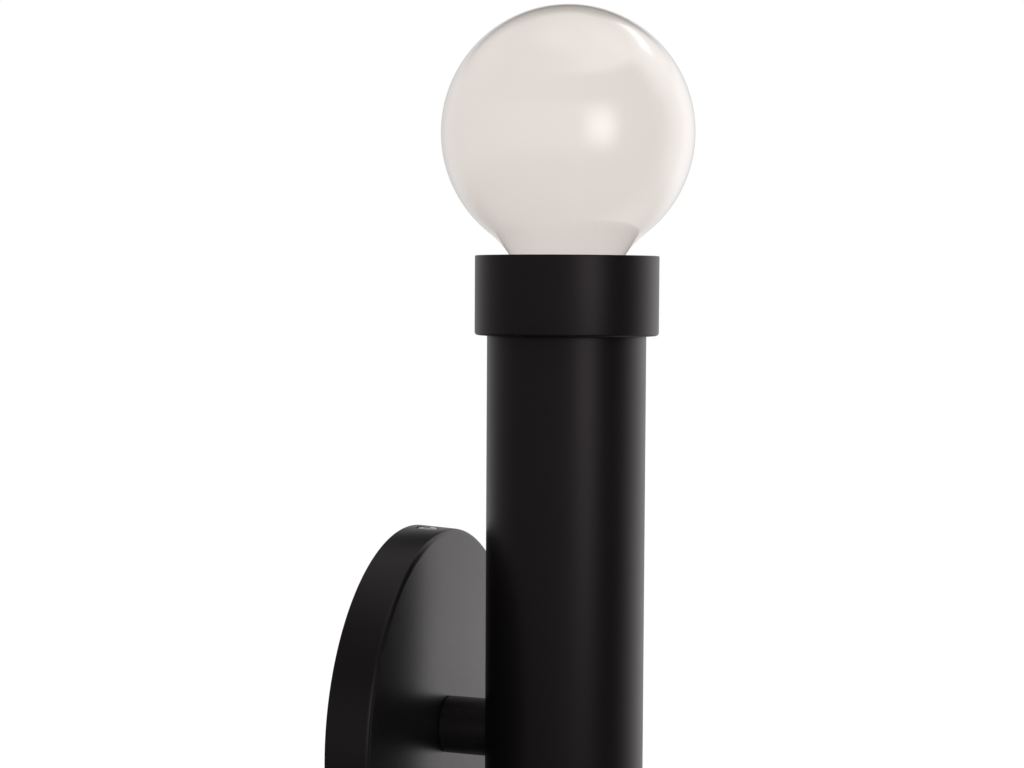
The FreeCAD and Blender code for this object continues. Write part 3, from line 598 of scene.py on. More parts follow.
def plated_metal(name, bright, dull, roughness, line_mm, along):
    """Plated or drawn metal: tool lines, clouding where it has dulled, and brighter corners."""
    finish, tree, shader = new_finish(name)
    grain = effect(tree, GRAIN, Grain_mm=0.3, Patch_mm=7)
    touched = effect(tree, HANDLING, Smear_mm=8, Scratch_mm=5)
    lines = effect(tree, TOOL_LINES, Line_mm=line_mm,
                   Along_X=along[0], Along_Y=along[1], Along_Z=along[2])
    worn = effect(tree, WORN_EDGES, Width=0.1, Break_mm=0.8)
    clouded = blend_colour(tree, grain["Tone"], dull, bright)
    height = summed(tree, lines["Height"], (touched["Scratch"], -0.5))
    feed(tree, shader, {
        "Base Color": blend_colour(tree, worn["Mask"], clouded, bright),
        "Metallic": 1.0,
        "Roughness": summed(tree, ranged(tree, grain["Tone"], roughness - 0.05, roughness + 0.08),
                            (touched["Smear"], 0.07), (worn["Mask"], -0.08)),
        "Normal": raised(tree, height, 0.3, 0.01)})
    return finish


def moulded_plastic(name, colour, shade, roughness, coat=0.0):
    """Moulded plastic: fine mould grain, flow clouding, pale corners and handling smears."""
    finish, tree, shader = new_finish(name)
    grain = effect(tree, GRAIN, Grain_mm=0.22, Patch_mm=9)
    touched = effect(tree, HANDLING, Smear_mm=9, Scratch_mm=6)
    worn = effect(tree, WORN_EDGES, Width=0.1, Break_mm=0.9)
    flow = blend_colour(tree, grain["Tone"], shade, colour)
    pale = tuple(channel + (1 - channel) * 0.08 for channel in colour)
    feed(tree, shader, {
        "Base Color": blend_colour(tree, worn["Mask"], flow, pale),
        "Roughness": summed(tree, ranged(tree, grain["Tone"], roughness - 0.04, roughness + 0.05),
                            (touched["Smear"], -0.06), (touched["Scratch"], 0.1)),
        "Coat Weight": coat,
        "Normal": raised(tree, grain["Height"], 0.3, 0.015)})
    return finish


def glazed_porcelain():
    """White electrical porcelain: warm body, wavy glaze and a few dark specks."""
    finish, tree, shader = new_finish("glazed_porcelain")
    grain = effect(tree, GRAIN, Grain_mm=1.8, Patch_mm=10)
    specks = add(tree, "ShaderNodeTexVoronoi", {"Vector": per_mm(tree, 2.5), "Scale": 1.0})
    speck = ranged(tree, specks.outputs["Distance"], 1, 0, 0.03, 0.07)
    body = blend_colour(tree, grain["Tone"], (0.8, 0.77, 0.71), (0.86, 0.84, 0.8))
    feed(tree, shader, {
        "Base Color": blend_colour(tree, speck, body, (0.35, 0.28, 0.2)),
        "Roughness": ranged(tree, grain["Tone"], 0.12, 0.2),
        "Coat Weight": 0.6,
        "Normal": raised(tree, grain["Height"], 0.2, 0.03)})
    return finish


def clear_glass():
    finish, tree, shader = new_finish("clear_glass")
    grain = effect(tree, GRAIN, Grain_mm=3, Patch_mm=12)
    feed(tree, shader, {
        "Base Color": blend_colour(tree, grain["Tone"], (0.93, 0.97, 0.95), (0.97, 0.98, 0.98)),
        "Roughness": ranged(tree, grain["Tone"], 0.0, 0.03),
        "Transmission Weight": 1.0,
        "IOR": 1.5,
        "Normal": raised(tree, grain["Height"], 0.1, 0.02)})
    return finish


ALL_ROUND = (1, 1, 1)           # lines that run no way in particular
TURNED = (0.02, 0.02, 1)        # lines that run round an upright axis
ROLLED = (0.05, 0.05, 1)
DRAWN_ACROSS = (1, 0.1, 0.1)

satin_black = satin_black_paint()
opal = opal_glass()
zinc = plated_metal("zinc_plated_steel", (0.74, 0.74, 0.72), (0.6, 0.61, 0.6), 0.3, 0.3, ROLLED)
nickel = plated_metal("nickel_plate", (0.8, 0.78, 0.74), (0.7, 0.68, 0.64), 0.2, 0.2, TURNED)
brass = plated_metal("contact_brass", (0.82, 0.63, 0.33), (0.66, 0.47, 0.22), 0.26, 0.25, TURNED)
solder = plated_metal("dull_solder", (0.66, 0.66, 0.65), (0.5, 0.5, 0.5), 0.42, 0.6, ALL_ROUND)
tungsten = plated_metal(
    "drawn_tungsten", (0.34, 0.34, 0.35), (0.22, 0.22, 0.23), 0.4, 0.1, DRAWN_ACROSS)
holder_black = moulded_plastic("holder_black", (0.03, 0.029, 0.028), (0.022, 0.021, 0.021), 0.42)
dark_glass = moulded_plastic(
    "dark_base_glass", (0.03, 0.03, 0.034), (0.018, 0.018, 0.022), 0.14, coat=0.6)
lead_black = moulded_plastic("lead_black", (0.02, 0.02, 0.021), (0.014, 0.014, 0.014), 0.36)
lead_white = moulded_plastic("lead_white", (0.82, 0.82, 0.79), (0.74, 0.73, 0.69), 0.38)
splice_orange = moulded_plastic("splice_orange", (0.8, 0.3, 0.045), (0.68, 0.23, 0.03), 0.3)
ground_green = moulded_plastic(
    "ground_green_lacquer", (0.05, 0.3, 0.1), (0.035, 0.22, 0.07), 0.28, coat=0.3)
porcelain = glazed_porcelain()
stem_glass = clear_glass()


# ---- giving pieces their finish and body ----
def dress(piece, finish, node):
    """The piece stands for the node: it gets the given finish, the node is hidden, and the piece moves with the
    node's body.
    """
    piece.data.materials.clear()
    piece.data.materials.append(finish)
    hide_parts(node)
    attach(piece, BODY_OF[node])
    return piece


def finish_node(node, finish):
    frame["nodes"][node].material_slots[0].material = finish


# ---- canopy, stem, tube and collar ----
def canopy_dish():
    face_r = CANOPY_R - CANOPY_DRAW_IN
    inner_face = CANOPY_DEPTH - CANOPY_SHEET
    dish = turned("canopy_dish", [
        (ROD_HOLE_R, CANOPY_DEPTH),
        (face_r, CANOPY_DEPTH, CANOPY_EDGE_R),
        (CANOPY_R, 0, 0.25),
        (CANOPY_R - CANOPY_SHEET, 0, 0.25),
        (face_r - CANOPY_SHEET, inner_face, CANOPY_EDGE_R - CANOPY_SHEET),
        (ROD_HOLE_R, inner_face)], around=288)
    moved(dish, FROM_WALL)
    drill = plain_round("rim_drill", CANOPY_SCREW_HOLE_R, -CANOPY_R * 2, CANOPY_R * 2)
    moved(drill, place(OUTWARD * CANOPY_SCREW_DEPTH, UP))
    cut_by(dish, drill)
    dress(dish, satin_black, "canopy")


def stem_spacer():
    """The sleeve, whose front end follows the round of the tube."""
    around = 128

    def ring(radius, depth):
        return ring_at(radius, depth, around)

    def saddle_ring(radius):
        points = []
        for point in ring_at(radius, 0, around):
            to_tube = TUBE_DEPTH - math.sqrt(TUBE_R ** 2 - point.x ** 2)
            points.append(Vector((point.x, point.y, to_tube)))
        return points

    back = CANOPY_DEPTH
    sleeve = skinned("stem_spacer", [
        ring(ROD_HOLE_R, back),
        ring(STEM_R - STEM_CHAMFER, back),
        ring(STEM_R, back + STEM_CHAMFER),
        saddle_ring(STEM_R),
        saddle_ring(ROD_HOLE_R)])
    dress(moved(sleeve, FROM_WALL), satin_black, "stem_sleeve")


def tube_body():
    inner_r = TUBE_R - TUBE_WALL
    tube = turned("tube_body", [
        (TUBE_R, TUBE_FOOT, 0.15),
        (TUBE_R, TUBE_END, 0.15),
        (inner_r, TUBE_END),
        (inner_r, TUBE_FOOT)], around=192, fine=(-12, 12, 2))
    moved(tube, ON_TUBE)
    drill = moved(plain_round("rod_drill", ROD_HOLE_R, 0, TUBE_DEPTH), FROM_WALL)
    dress(cut_by(tube, drill), satin_black, "main_tube")


def tube_cap():
    spigot_r = TUBE_R - TUBE_WALL - FIT_PLAY
    inner_r = spigot_r - CAP_SPIGOT_WALL
    cap = turned("tube_cap", [
        (0, CAP_FOOT),
        (TUBE_R, CAP_FOOT, CAP_EDGE_R),
        (TUBE_R, TUBE_FOOT, 0.1),
        (spigot_r, TUBE_FOOT),
        (spigot_r, CAP_TOP, 0.3),
        (inner_r, CAP_TOP, 0.3),
        (inner_r, TUBE_FOOT, 0.5),
        (0, TUBE_FOOT)], around=192)
    dress(moved(cap, ON_TUBE), satin_black, "bottom_cap")


def collar_cup():
    bowl_r = COLLAR_R - COLLAR_WALL
    seat_r = TUBE_R + FIT_PLAY
    hole_r = HOLDER_R + FIT_PLAY * 3
    cup = turned("collar_cup", [
        (hole_r, TUBE_END + COLLAR_FLOOR),
        (bowl_r, TUBE_END + COLLAR_FLOOR, 0.8),
        (bowl_r, COLLAR_TOP, 0.25),
        (COLLAR_R, COLLAR_TOP, COLLAR_LIP_R),
        (COLLAR_R, COLLAR_FOOT, COLLAR_FOOT_R),
        (seat_r, COLLAR_FOOT, 0.15),
        (seat_r, TUBE_END),
        (hole_r, TUBE_END)], around=208)
    dress(moved(cup, ON_TUBE), satin_black, "collar")


# ---- screws, nuts, washers and rods ----
def round_headed_screw(node, head, shank, pitch, depth, plain_ends):
    """A screw that points down, with the underside of its head at 0.

    head is (height, edge radius), shank is (radius, length, tip radius), and plain_ends is how much of
    the shank has no thread at its tip and under its head.
    """
    head_r = half_width(node)
    head_height, head_edge = head
    shank_r, length, tip_edge = shank
    return turned(node + "_made", [
        (0, -length),
        (shank_r, -length, tip_edge),
        (shank_r, 0),
        (head_r, 0, 0.1),
        (head_r, head_height, head_edge),
        (0, head_height)], around=48,
        worked=thread((shank_r,), pitch, depth, -length + plain_ends[0], -plain_ends[1]),
        fine=(-length, 0, pitch / 6))


def canopy_screw(node, side):
    """Round-headed socket screw in the canopy's rim."""
    head_height, socket_flats, socket_depth = 2.1, 2.5, 1.3
    screw = round_headed_screw(node, (head_height, 0.6), (1.95, 7.0, 0.4),
                               SCREW_PITCH, SCREW_THREAD_DEPTH, (0.5, 0.6))
    cut_by(screw, hexagon_bar("socket", socket_flats, head_height - socket_depth, head_height + 1))
    way = UP * side
    head_top = heights(node)[1 if side > 0 else 0]
    seat = OUTWARD * CANOPY_SCREW_DEPTH + UP * head_top - way * head_height
    dress(moved(screw, place(seat, way)), zinc, node)


def slotted_screw(node, seat, way, head_height, slot, shank_r, length, pitch, finish):
    depth = pitch * 0.45
    screw = round_headed_screw(node, (head_height, 0.7), (shank_r, length, 0.3),
                               pitch, depth, (0.3, 0.3))
    past_head = half_width(node) + 1
    cut_by(screw, plain_block("slot", (-past_head, -slot / 2, head_height - slot * 0.9),
                              (past_head, slot / 2, head_height + 1)))
    dress(moved(screw, place(seat, way)), finish, node)


def threaded_rod(node, low, high, frame_place):
    """Hollow rod, threaded all along."""
    rod = turned(node + "_made", [
        (ROD_BORE_R, low, 0.15),
        (NIPPLE_R, low, 0.3),
        (NIPPLE_R, high, 0.3),
        (ROD_BORE_R, high, 0.15)], around=48,
        worked=thread((NIPPLE_R,), ROD_PITCH, ROD_THREAD_DEPTH, low + 0.3, high - 0.3),
        fine=(low, high, ROD_PITCH / 8))
    dress(moved(rod, frame_place), zinc, node)


def hex_nut(node, low, high, frame_place):
    """Hexagonal nut with turned-off corners and a thread that follows the rod's."""
    flat_r = 7.0
    corner_r = flat_r / math.cos(math.pi / 6)
    bore_r = NIPPLE_R + THREAD_PLAY
    threaded = thread((bore_r,), ROD_PITCH, ROD_THREAD_DEPTH, low - ROD_PITCH, high + ROD_PITCH)

    def worked(radius, reach, angle):
        if radius < flat_r:
            return threaded(radius, reach, angle)
        from_flat = (angle + math.pi / 6) % (math.pi / 3) - math.pi / 6
        to_face = min(reach - low, high - reach)
        return min(flat_r / math.cos(from_flat), flat_r + 0.1 + to_face * 1.9)

    nut = turned(node + "_made", [
        (bore_r, low), (corner_r, low), (corner_r, high), (bore_r, high)],
        around=96, worked=worked, fine=(low, high, ROD_PITCH / 8))
    dress(moved(nut, frame_place), zinc, node)


def lock_washer(node, seat, way):
    """Star washer: a ring with twelve teeth, each twisted a little."""
    outer_r, ring_r, thick = 9.0, 7.2, 0.8
    bore_r = NIPPLE_R + THREAD_PLAY
    ring = turned(node + "_made", [
        (bore_r, 0, 0.1), (ring_r, 0, 0.1), (ring_r, thick, 0.1), (bore_r, thick, 0.1)], around=96)
    tooth = plain_block("tooth", (ring_r - 0.6, -1.3, -0.25), (outer_r - 0.1, 1.3, 0.25))
    moved(tooth, Matrix.Translation((0, 0, thick / 2)) @ Matrix.Rotation(math.radians(6), 4, "X"))
    repeated(ring, tooth, 12, "UNION", zinc)
    dress(moved(ring, place(seat, way)), zinc, node)


def clamp_sets():
    """Nuts, washers and rods: on the stem's axis they are drawn from the wall, in the tube upright."""
    back, front = depths("stem_nipple")
    threaded_rod("stem_nipple", back, front, FROM_WALL)
    threaded_rod("lampholder_nipple", *heights("lampholder_nipple"), ON_TUBE)
    for name, set_back in (("canopy", CANOPY_SET_BACK), ("tube", 0)):
        nut_back, nut_front = depths("hex_nut_" + name)
        hex_nut("hex_nut_" + name, nut_back - set_back, nut_front - set_back, FROM_WALL)
        washer_back = depths("lock_washer_" + name)[0] - set_back
        lock_washer("lock_washer_" + name, OUTWARD * washer_back, OUTWARD)
    hex_nut("hex_nut_bridge", *heights("hex_nut_bridge"), ON_TUBE)
    lock_washer("lock_washer_bridge", at_tube(0, heights("lock_washer_bridge")[0]), UP)


def small_screws():
    canopy_screw("canopy_screw_top", 1)
    canopy_screw("canopy_screw_bottom", -1)
    ground_low, ground_high = box_mm("ground_screw")
    ground_head = 2.6
    ground_seat = Vector((0, ground_low.y + ground_head, (ground_low.z + ground_high.z) / 2))
    slotted_screw("ground_screw", ground_seat, OUTWARD, ground_head, 1.2, 2.3, 3.1, 0.8, ground_green)
    for side in ("live", "neutral"):
        node = "terminal_screw_" + side
        low, high = box_mm(node)
        head = 2.2
        seat = Vector(((low.x + high.x) / 2, -TUBE_DEPTH, low.z + head))
        slotted_screw(node, seat, -UP, head, 0.9, 1.6, 2.8, 0.6, brass)


# ---- wall bracket ----
def bracket_strap():
    """Bent steel strap with a round middle, slots, a raised ground boss and two tapped tabs."""
    low, high = box_mm("wall_bracket")
    end, tab_depth = high.z - TAB_PLAY, -low.y
    sheet, bend_r, half, middle_r = 1.5, 2.3, 10.0, 18.0
    ground_z, boss_r, boss_height, ground_hole_r = -24.0, 4.0, 3.5, 2.4
    wire_hole_r, tapped_r, slot_middle = 10.0, 2.0, 39.7
    from_side = rounded([
        (-end, tab_depth), (-end, 0, bend_r), (end, 0, bend_r), (end, tab_depth),
        (end - sheet, tab_depth), (end - sheet, sheet, bend_r - sheet),
        (-end + sheet, sheet, bend_r - sheet), (-end + sheet, tab_depth)])
    strap = moved(prism("bracket_strap", from_side, -middle_r - 1, middle_r + 1), SIDE_ON)
    meeting = math.acos(half / middle_r)
    from_front = ([(half, -end - 1)] + arc((0, 0), middle_r, -meeting, meeting) + [(half, end + 1)]
                  + [(-half, end + 1)] + arc((0, 0), middle_r, math.pi - meeting, math.pi + meeting)
                  + [(-half, -end - 1)])
    combined(strap, [prism("strap_face", from_front, -1, tab_depth + 1)], "INTERSECT")
    to_ground = Matrix.Translation((0, ground_z, 0))
    fused_with(strap, moved(plain_round("boss", boss_r, sheet / 3, boss_height), to_ground))
    to_tabs = Matrix.Translation((0, 0, CANOPY_SCREW_DEPTH)) @ Matrix.Rotation(math.pi / 2, 4, "X")
    drills = [
        plain_round("wire_hole", wire_hole_r, -1, sheet + 1, around=96),
        moved(plain_round("ground_hole", ground_hole_r, -1, boss_height + 1.5), to_ground),
        moved(plain_round("tapped_hole", tapped_r, -end * 2, end * 2, around=32), to_tabs),
        box_slot(-slot_middle),
        box_slot(slot_middle)]
    cut_by(strap, *drills)
    eased(strap, 0.18, 1, 50)
    dress(moved(strap, FROM_WALL), zinc, "wall_bracket")


def box_slot(height):
    """A long hole's cutter along the strap."""
    slot_r, straight = 2.5, 4.75
    outline = (arc((0, height + straight), slot_r, 0, math.pi)
               + arc((0, height - straight), slot_r, math.pi, FULL_TURN))
    return prism("box_slot", outline, -1, 3)


# ---- lampholder ----
def holder_skirt():
    """Barrel with the coarse outside thread that the ring runs on."""
    wall, mouth_r, lip = 2.6, 14.4, 2.0
    inner_r = HOLDER_R - wall
    skirt = turned("holder_skirt", [
        (inner_r, SKIRT_FOOT),
        (HOLDER_R, SKIRT_FOOT, 0.3),
        (HOLDER_R, SKIRT_TOP, 0.6),
        (mouth_r, SKIRT_TOP, 0.8),
        (mouth_r, SKIRT_TOP - lip),
        (inner_r, SKIRT_TOP - lip)], around=128,
        worked=thread((HOLDER_R,), HOLDER_PITCH, HOLDER_THREAD_DEPTH, SKIRT_FOOT + 6, SKIRT_TOP - 0.8),
        fine=(SKIRT_FOOT, SKIRT_TOP, HOLDER_PITCH / 10))
    dress(moved(skirt, ON_TUBE), holder_black, "lampholder_skirt")


def clamp_ring():
    """Retaining ring with finger grooves round its edge."""
    bore_r = HOLDER_R + THREAD_PLAY
    ring = turned("clamp_ring", [
        (bore_r, RING_FOOT, 0.2),
        (RING_R, RING_FOOT, 0.3),
        (RING_R, RING_TOP, 0.8),
        (bore_r, RING_TOP, 0.4)], around=180)
    groove = moved(plain_round("groove", 1.3, RING_FOOT - 1, RING_TOP + 1, around=40),
                   Matrix.Rotation(math.pi / 18, 4, "Z") @ Matrix.Translation((RING_R + 0.4, 0, 0)))
    repeated(ring, groove, 18, "DIFFERENCE", holder_black)
    dress(moved(ring, ON_TUBE), holder_black, "retaining_ring")


def bulb_thread(crests, low, high):
    return thread(crests, BULB_PITCH, BULB_THREAD_DEPTH, low, high, rounded_form=True)


def holder_contact():
    """Rolled brass shell; its thread runs beside the bulb's with a little play."""
    sheet, window_r = 0.45, 9.5
    inner_r = CONTACT_R - sheet
    floor = CONTACT_FOOT + sheet
    shell = turned("holder_contact", [
        (window_r, CONTACT_FOOT),
        (CONTACT_R, CONTACT_FOOT, 0.8),
        (CONTACT_R, CONTACT_TOP, 0.1),
        (inner_r, CONTACT_TOP, 0.1),
        (inner_r, floor, 0.4),
        (window_r, floor)], around=96,
        worked=bulb_thread((CONTACT_R, inner_r), CONTACT_FOOT + 3, CONTACT_TOP - 0.4),
        fine=(CONTACT_FOOT, CONTACT_TOP, BULB_PITCH / 12))
    dress(moved(shell, ON_TUBE), brass, "screw_contact")


# ---- bulb ----
def glass_rows(inset):
    """The globe's outline from its top to its foot, moved inwards by inset."""
    curve_centre_r = NECK_R + NECK_CURVE_R
    meeting = math.atan2(GLOBE_CENTRE - GLASS_FOOT, curve_centre_r)
    globe_steps, neck_steps = 84, 20
    rows = []
    for i in range(globe_steps + 1):
        angle = -math.pi / 2 + (meeting + math.pi / 2) * i / globe_steps
        radius = (GLOBE_R - inset) * math.cos(angle)
        rows.append((max(radius, 0), GLOBE_CENTRE - (GLOBE_R - inset) * math.sin(angle)))
    for i in range(1, neck_steps + 1):
        angle = meeting * (1 - i / neck_steps)
        rows.append((curve_centre_r - (NECK_CURVE_R + inset) * math.cos(angle),
                     GLASS_FOOT + (NECK_CURVE_R + inset) * math.sin(angle)))
    return rows


def glass_globe():
    outline = glass_rows(0) + glass_rows(GLASS)[::-1]
    rings = [ring_at(radius, height, 192) for radius, height in outline]
    globe = skinned("glass_globe", rings, closed=False)
    dress(moved(globe, ON_TUBE), opal, "bulb_globe")


def bulb_shell():
    """Plated screw base with its rolled thread and flared top."""
    sheet, window_r, flare_height = 0.3, 9.0, 2.7
    inner_r = BULB_THREAD_R - sheet
    shell = turned("bulb_shell", [
        (window_r, BASE_FOOT),
        (BULB_THREAD_R, BASE_FOOT, 1.5),
        (BULB_THREAD_R, BASE_TOP - flare_height, 1.5),
        (BASE_FLARE_R, BASE_TOP, 0.12),
        (BASE_FLARE_R - sheet, BASE_TOP, 0.12),
        (inner_r, BASE_TOP - flare_height, 1.5),
        (inner_r, BASE_FOOT + sheet, 1.2),
        (window_r, BASE_FOOT + sheet)], around=128,
        worked=bulb_thread((BULB_THREAD_R, inner_r), BASE_FOOT + 1.8, BASE_TOP - 4.2),
        fine=(BASE_FOOT + 1.8, BASE_TOP - 4.2, BULB_PITCH / 14))
    dress(moved(shell, ON_TUBE), nickel, "bulb_screw_base")


def filament_coil():
    """A fine coil that hangs in a shallow arc between the two supports."""
    high = box_mm("filament")[1]
    wire_r, coil_r, sag = 0.13, 0.36, 2.2
    turns, steps, sides = 46, 12, 6
    half = high.x
    level = high.z - 0.5

    def centre(share):
        x = -half + 2 * half * share
        return at_tube(x, level - sag * (1 - (x / half) ** 2) ** 2)

    def coil_point(share):
        angle = FULL_TURN * turns * share
        side = OUTWARD * math.cos(angle) + UP * math.sin(angle)
        return centre(share) + side * coil_r

    count = turns * steps
    rings = []
    for i in range(count + 1):
        here = coil_point(i / count)
        ahead = (coil_point((i + 0.5) / count) - coil_point((i - 0.5) / count)).normalized()
        out = (here - centre(i / count)).normalized()
        across = ahead.cross(out).normalized()
        spokes = [FULL_TURN * k / sides for k in range(sides)]
        rings.append([here + (out * math.cos(spoke) + across * math.sin(spoke)) * wire_r
                      for spoke in spokes])
    rings = [[coil_point(0)]] + rings + [[coil_point(1)]]
    coil = skinned("filament_coil", rings, closed=False)
    dress(moved(coil, Matrix.Scale(MM, 4)), tungsten, "filament")


# ---- wire nuts ----
def splice_cap(node, side):
    """Twist-on cap: ribbed cone with two wings, its mouth towards the stem."""
    low, high = box_mm(node)
    length, mouth_r, tip_r, wall = high.x - low.x, 4.8, 3.4, 1.2
    rib_half, rib_start, rib_count, roof = 0.22, 2.5, 14, 4
    cap = turned(node + "_made", [
        (mouth_r - 0.3, 0, 0.2),
        (mouth_r - 0.3, 1.6, 0.3),
        (mouth_r - 0.6, 2.2, 0.3),
        (tip_r - 0.3, length, 1.4),
        (0, length),
        (0, length - roof),
        (tip_r - wall, length - roof),
        (mouth_r - wall, 0, 0.3)], around=96)
    rib = plain_block("rib", (tip_r - 1.0, -rib_half, rib_start), (tip_r + 0.1, rib_half, length - 1.6))
    lean = Matrix.Rotation(-math.atan2(mouth_r - tip_r, length), 4, "Y")
    foot = Matrix.Translation((0, 0, rib_start))
    moved(rib, Matrix.Translation((0.45, 0, 0)) @ foot @ lean @ foot.inverted())
    repeated(cap, rib, rib_count, "UNION", splice_orange)
    for way in (-1, 1):
        wing = plain_block("wing", (3.3, -0.7, 1.5), (6.0, 0.7, 10.5))
        moved(wing, Matrix.Rotation(math.pi / 2 * way, 4, "Z"))
        fused_with(cap, wing)
    eased(cap, 0.12, 2, 60)
    mouth_x = low.x if side > 0 else high.x
    mouth = Vector((mouth_x, (low.y + high.y) / 2, 0))
    dress(moved(cap, place(mouth, RIGHT * side)), splice_orange, node)


# ---- all pieces ----
canopy_dish()
stem_spacer()
tube_body()
tube_cap()
collar_cup()
clamp_sets()
small_screws()
bracket_strap()
holder_skirt()
clamp_ring()
holder_contact()
glass_globe()
bulb_shell()
filament_coil()
splice_cap("wire_nut_live", -1)
splice_cap("wire_nut_neutral", 1)

for name in ("saddle_washer", "socket_bridge"):
    finish_node(name, zinc)
for name in ("lampholder_cap", "nipple_bushing_canopy", "nipple_bushing_tube", "nipple_bushing_bridge"):
    finish_node(name, holder_black)
for name in ("left", "right"):
    finish_node("filament_support_" + name, nickel)
finish_node("lampholder_insulator", porcelain)
finish_node("centre_contact", brass)
finish_node("lead_live", lead_black)
finish_node("lead_neutral", lead_white)
finish_node("bulb_base_insulator", dark_glass)
finish_node("bulb_tip_contact", solder)
finish_node("bulb_glass_stem", stem_glass)


# ---- studio: what surrounds the light, floor, lamps and camera ----
# Azimuths are counted as the views are: 0 looks along +Y, 90 along -X, and azimuth 0 lies on -Y.
FLOOR_Z = -1.5
FLOOR_R = 60.0
WHITE = 1.0
PLAIN_LIGHT = 1.0               # brightness that matt surfaces see all round
FLOOR_GLOW_SHARE = 0.6
FLOOR_GLOW = 1.15               # makes up for the share of the floor that is plain paper

# The studio round the light as a gloss surface shows it: (azimuth, brightness) at four heights.
BELOW_LIGHT = [
    (-180, 0.03), (-150, 0.0), (-85, 0.0), (-60, 0.06), (-22, 0.03), (10, 0.06), (24, 0.2), (48, 0.35),
    (72, 0.4), (95, 0.2), (112, 0.05), (180, 0.03)]
LEVEL_WITH_LIGHT = [
    (-180, 0.22), (-150, 0.13), (-85, 0.18), (-60, 0.24), (-22, 0.05), (-2, 0.02), (10, 0.04),
    (22, 0.2), (34, 0.55), (48, 0.88), (60, 1.1), (75, 1.0), (95, 0.7), (112, 0.6), (146, 0.55),
    (156, 0.46), (168, 0.32), (180, 0.22)]
ABOVE_LIGHT = [
    (-180, 0.24), (-150, 0.08), (-85, 0.07), (-30, 0.02), (-2, 0.0), (12, 0.05), (24, 0.4),
    (36, 0.7), (48, 0.85), (60, 0.95), (74, 0.85), (84, 0.65), (90, 0.25), (96, 0.04), (114, 0.0),
    (126, 0.12), (142, 0.4), (160, 0.36), (180, 0.24)]
HIGH_UP = [
    (-180, 0.2), (-150, 0.12), (-120, 0.1), (-84, 0.16), (-48, 0.38), (0, 0.5), (30, 0.6), (60, 0.55),
    (84, 0.45), (108, 0.4), (136, 0.32), (160, 0.26), (180, 0.2)]
STRAIGHT_UP = 0.4
BRIGHTEST = 2.0


def studio_group():
    """What a polished surface sees in a direction: pale backdrop behind, dim room in front."""
    tree = bpy.data.node_groups.new("studio", "ShaderNodeTree")
    tree.interface.new_socket("Direction", in_out="INPUT", socket_type="NodeSocketVector")
    tree.interface.new_socket("Brightness", in_out="OUTPUT", socket_type="NodeSocketFloat")
    given = add(tree, "NodeGroupInput").outputs
    unit = add(tree, "ShaderNodeVectorMath", {0: given["Direction"]}, operation="NORMALIZE").outputs[0]
    parts = add(tree, "ShaderNodeSeparateXYZ", {0: unit}).outputs
    from_wall = calculated(tree, "MULTIPLY", parts["Y"], -1.0)
    turn = calculated(tree, "ARCTAN2", parts["X"], from_wall)
    rise = calculated(tree, "ARCSINE", parts["Z"])

    def step(value, start, end):
        """0 before start, 1 after end, both in degrees; start may be the larger."""
        return ranged(tree, value, 0, 1, math.radians(start), math.radians(end),
                      interpolation_type="SMOOTHSTEP")

    def mixed(share, first, second):
        return add(tree, "ShaderNodeMix", {0: share, 2: first, 3: second}).outputs[0]

    def round_about(stops):
        """The brightness that the stops give the direction's azimuth."""
        ramp = add(tree, "ShaderNodeValToRGB", {0: ranged(tree, turn, 0, 1, -math.pi, math.pi)})
        ramp.color_ramp.interpolation = "LINEAR"
        for i, (azimuth, brightness) in enumerate(stops):
            where = (azimuth + 180) / 360
            if i < 2:           # a new ramp has two stops
                stop = ramp.color_ramp.elements[i]
                stop.position = where
            else:
                stop = ramp.color_ramp.elements.new(where)
            stop.color = (*[brightness / BRIGHTEST] * 3, 1)
        return calculated(tree, "MULTIPLY", ramp.outputs[0], BRIGHTEST)

    def patch(azimuths, elevations, brightness):
        """A soft-edged light that covers a range of azimuths and elevations."""
        made = brightness
        for value, (start, full, end, gone) in ((turn, azimuths), (rise, elevations)):
            made = calculated(tree, "MULTIPLY", made, step(value, start, full))
            made = calculated(tree, "MULTIPLY", made, step(value, gone, end))
        return made

    seen = mixed(step(rise, -30, -7), round_about(BELOW_LIGHT), round_about(LEVEL_WITH_LIGHT))
    seen = mixed(step(rise, 18, 26), seen, round_about(ABOVE_LIGHT))
    seen = mixed(step(rise, 44, 54), seen, round_about(HIGH_UP))
    seen = mixed(step(rise, 62, 84), seen, STRAIGHT_UP)
    lit_screen = patch((50, 60, 82, 87), (36, 39, 44, 46), 0.45)
    add(tree, "NodeGroupOutput", {"Brightness": calculated(tree, "ADD", seen, lit_screen)})
    return tree


def direction_at(azimuth, elevation):
    turn, rise = math.radians(azimuth), math.radians(elevation)
    return Vector((math.sin(turn) * math.cos(rise), -math.cos(turn) * math.cos(rise), math.sin(rise)))


STUDIO = studio_group()


def gloss_share(tree):
    """1 for a ray that left a gloss surface or came through glass, else 0."""
    path = add(tree, "ShaderNodeLightPath").outputs
    return calculated(tree, "MAXIMUM", path["Is Glossy Ray"], path["Is Transmission Ray"])


def studio_brightness(tree, direction, to_camera):
    """White to the camera, the studio to gloss and glass, and plain light to everything matt."""
    path = add(tree, "ShaderNodeLightPath").outputs
    seen = add(tree, "ShaderNodeGroup", {"Direction": direction}, node_tree=STUDIO).outputs[0]
    inner = add(tree, "ShaderNodeMix", {0: gloss_share(tree), 2: PLAIN_LIGHT, 3: seen}).outputs[0]
    return add(tree, "ShaderNodeMix", {0: path["Is Camera Ray"], 2: inner, 3: to_camera}).outputs[0]


def studio_world():
    world = bpy.data.worlds.new("studio")
    bpy.context.scene.world = world
    world.use_nodes = True
    tree = world.node_tree
    direction = add(tree, "ShaderNodeTexCoord").outputs["Generated"]
    feed(tree, tree.nodes["Background"], {
        "Color": (1, 1, 1, 1), "Strength": studio_brightness(tree, direction, WHITE)})


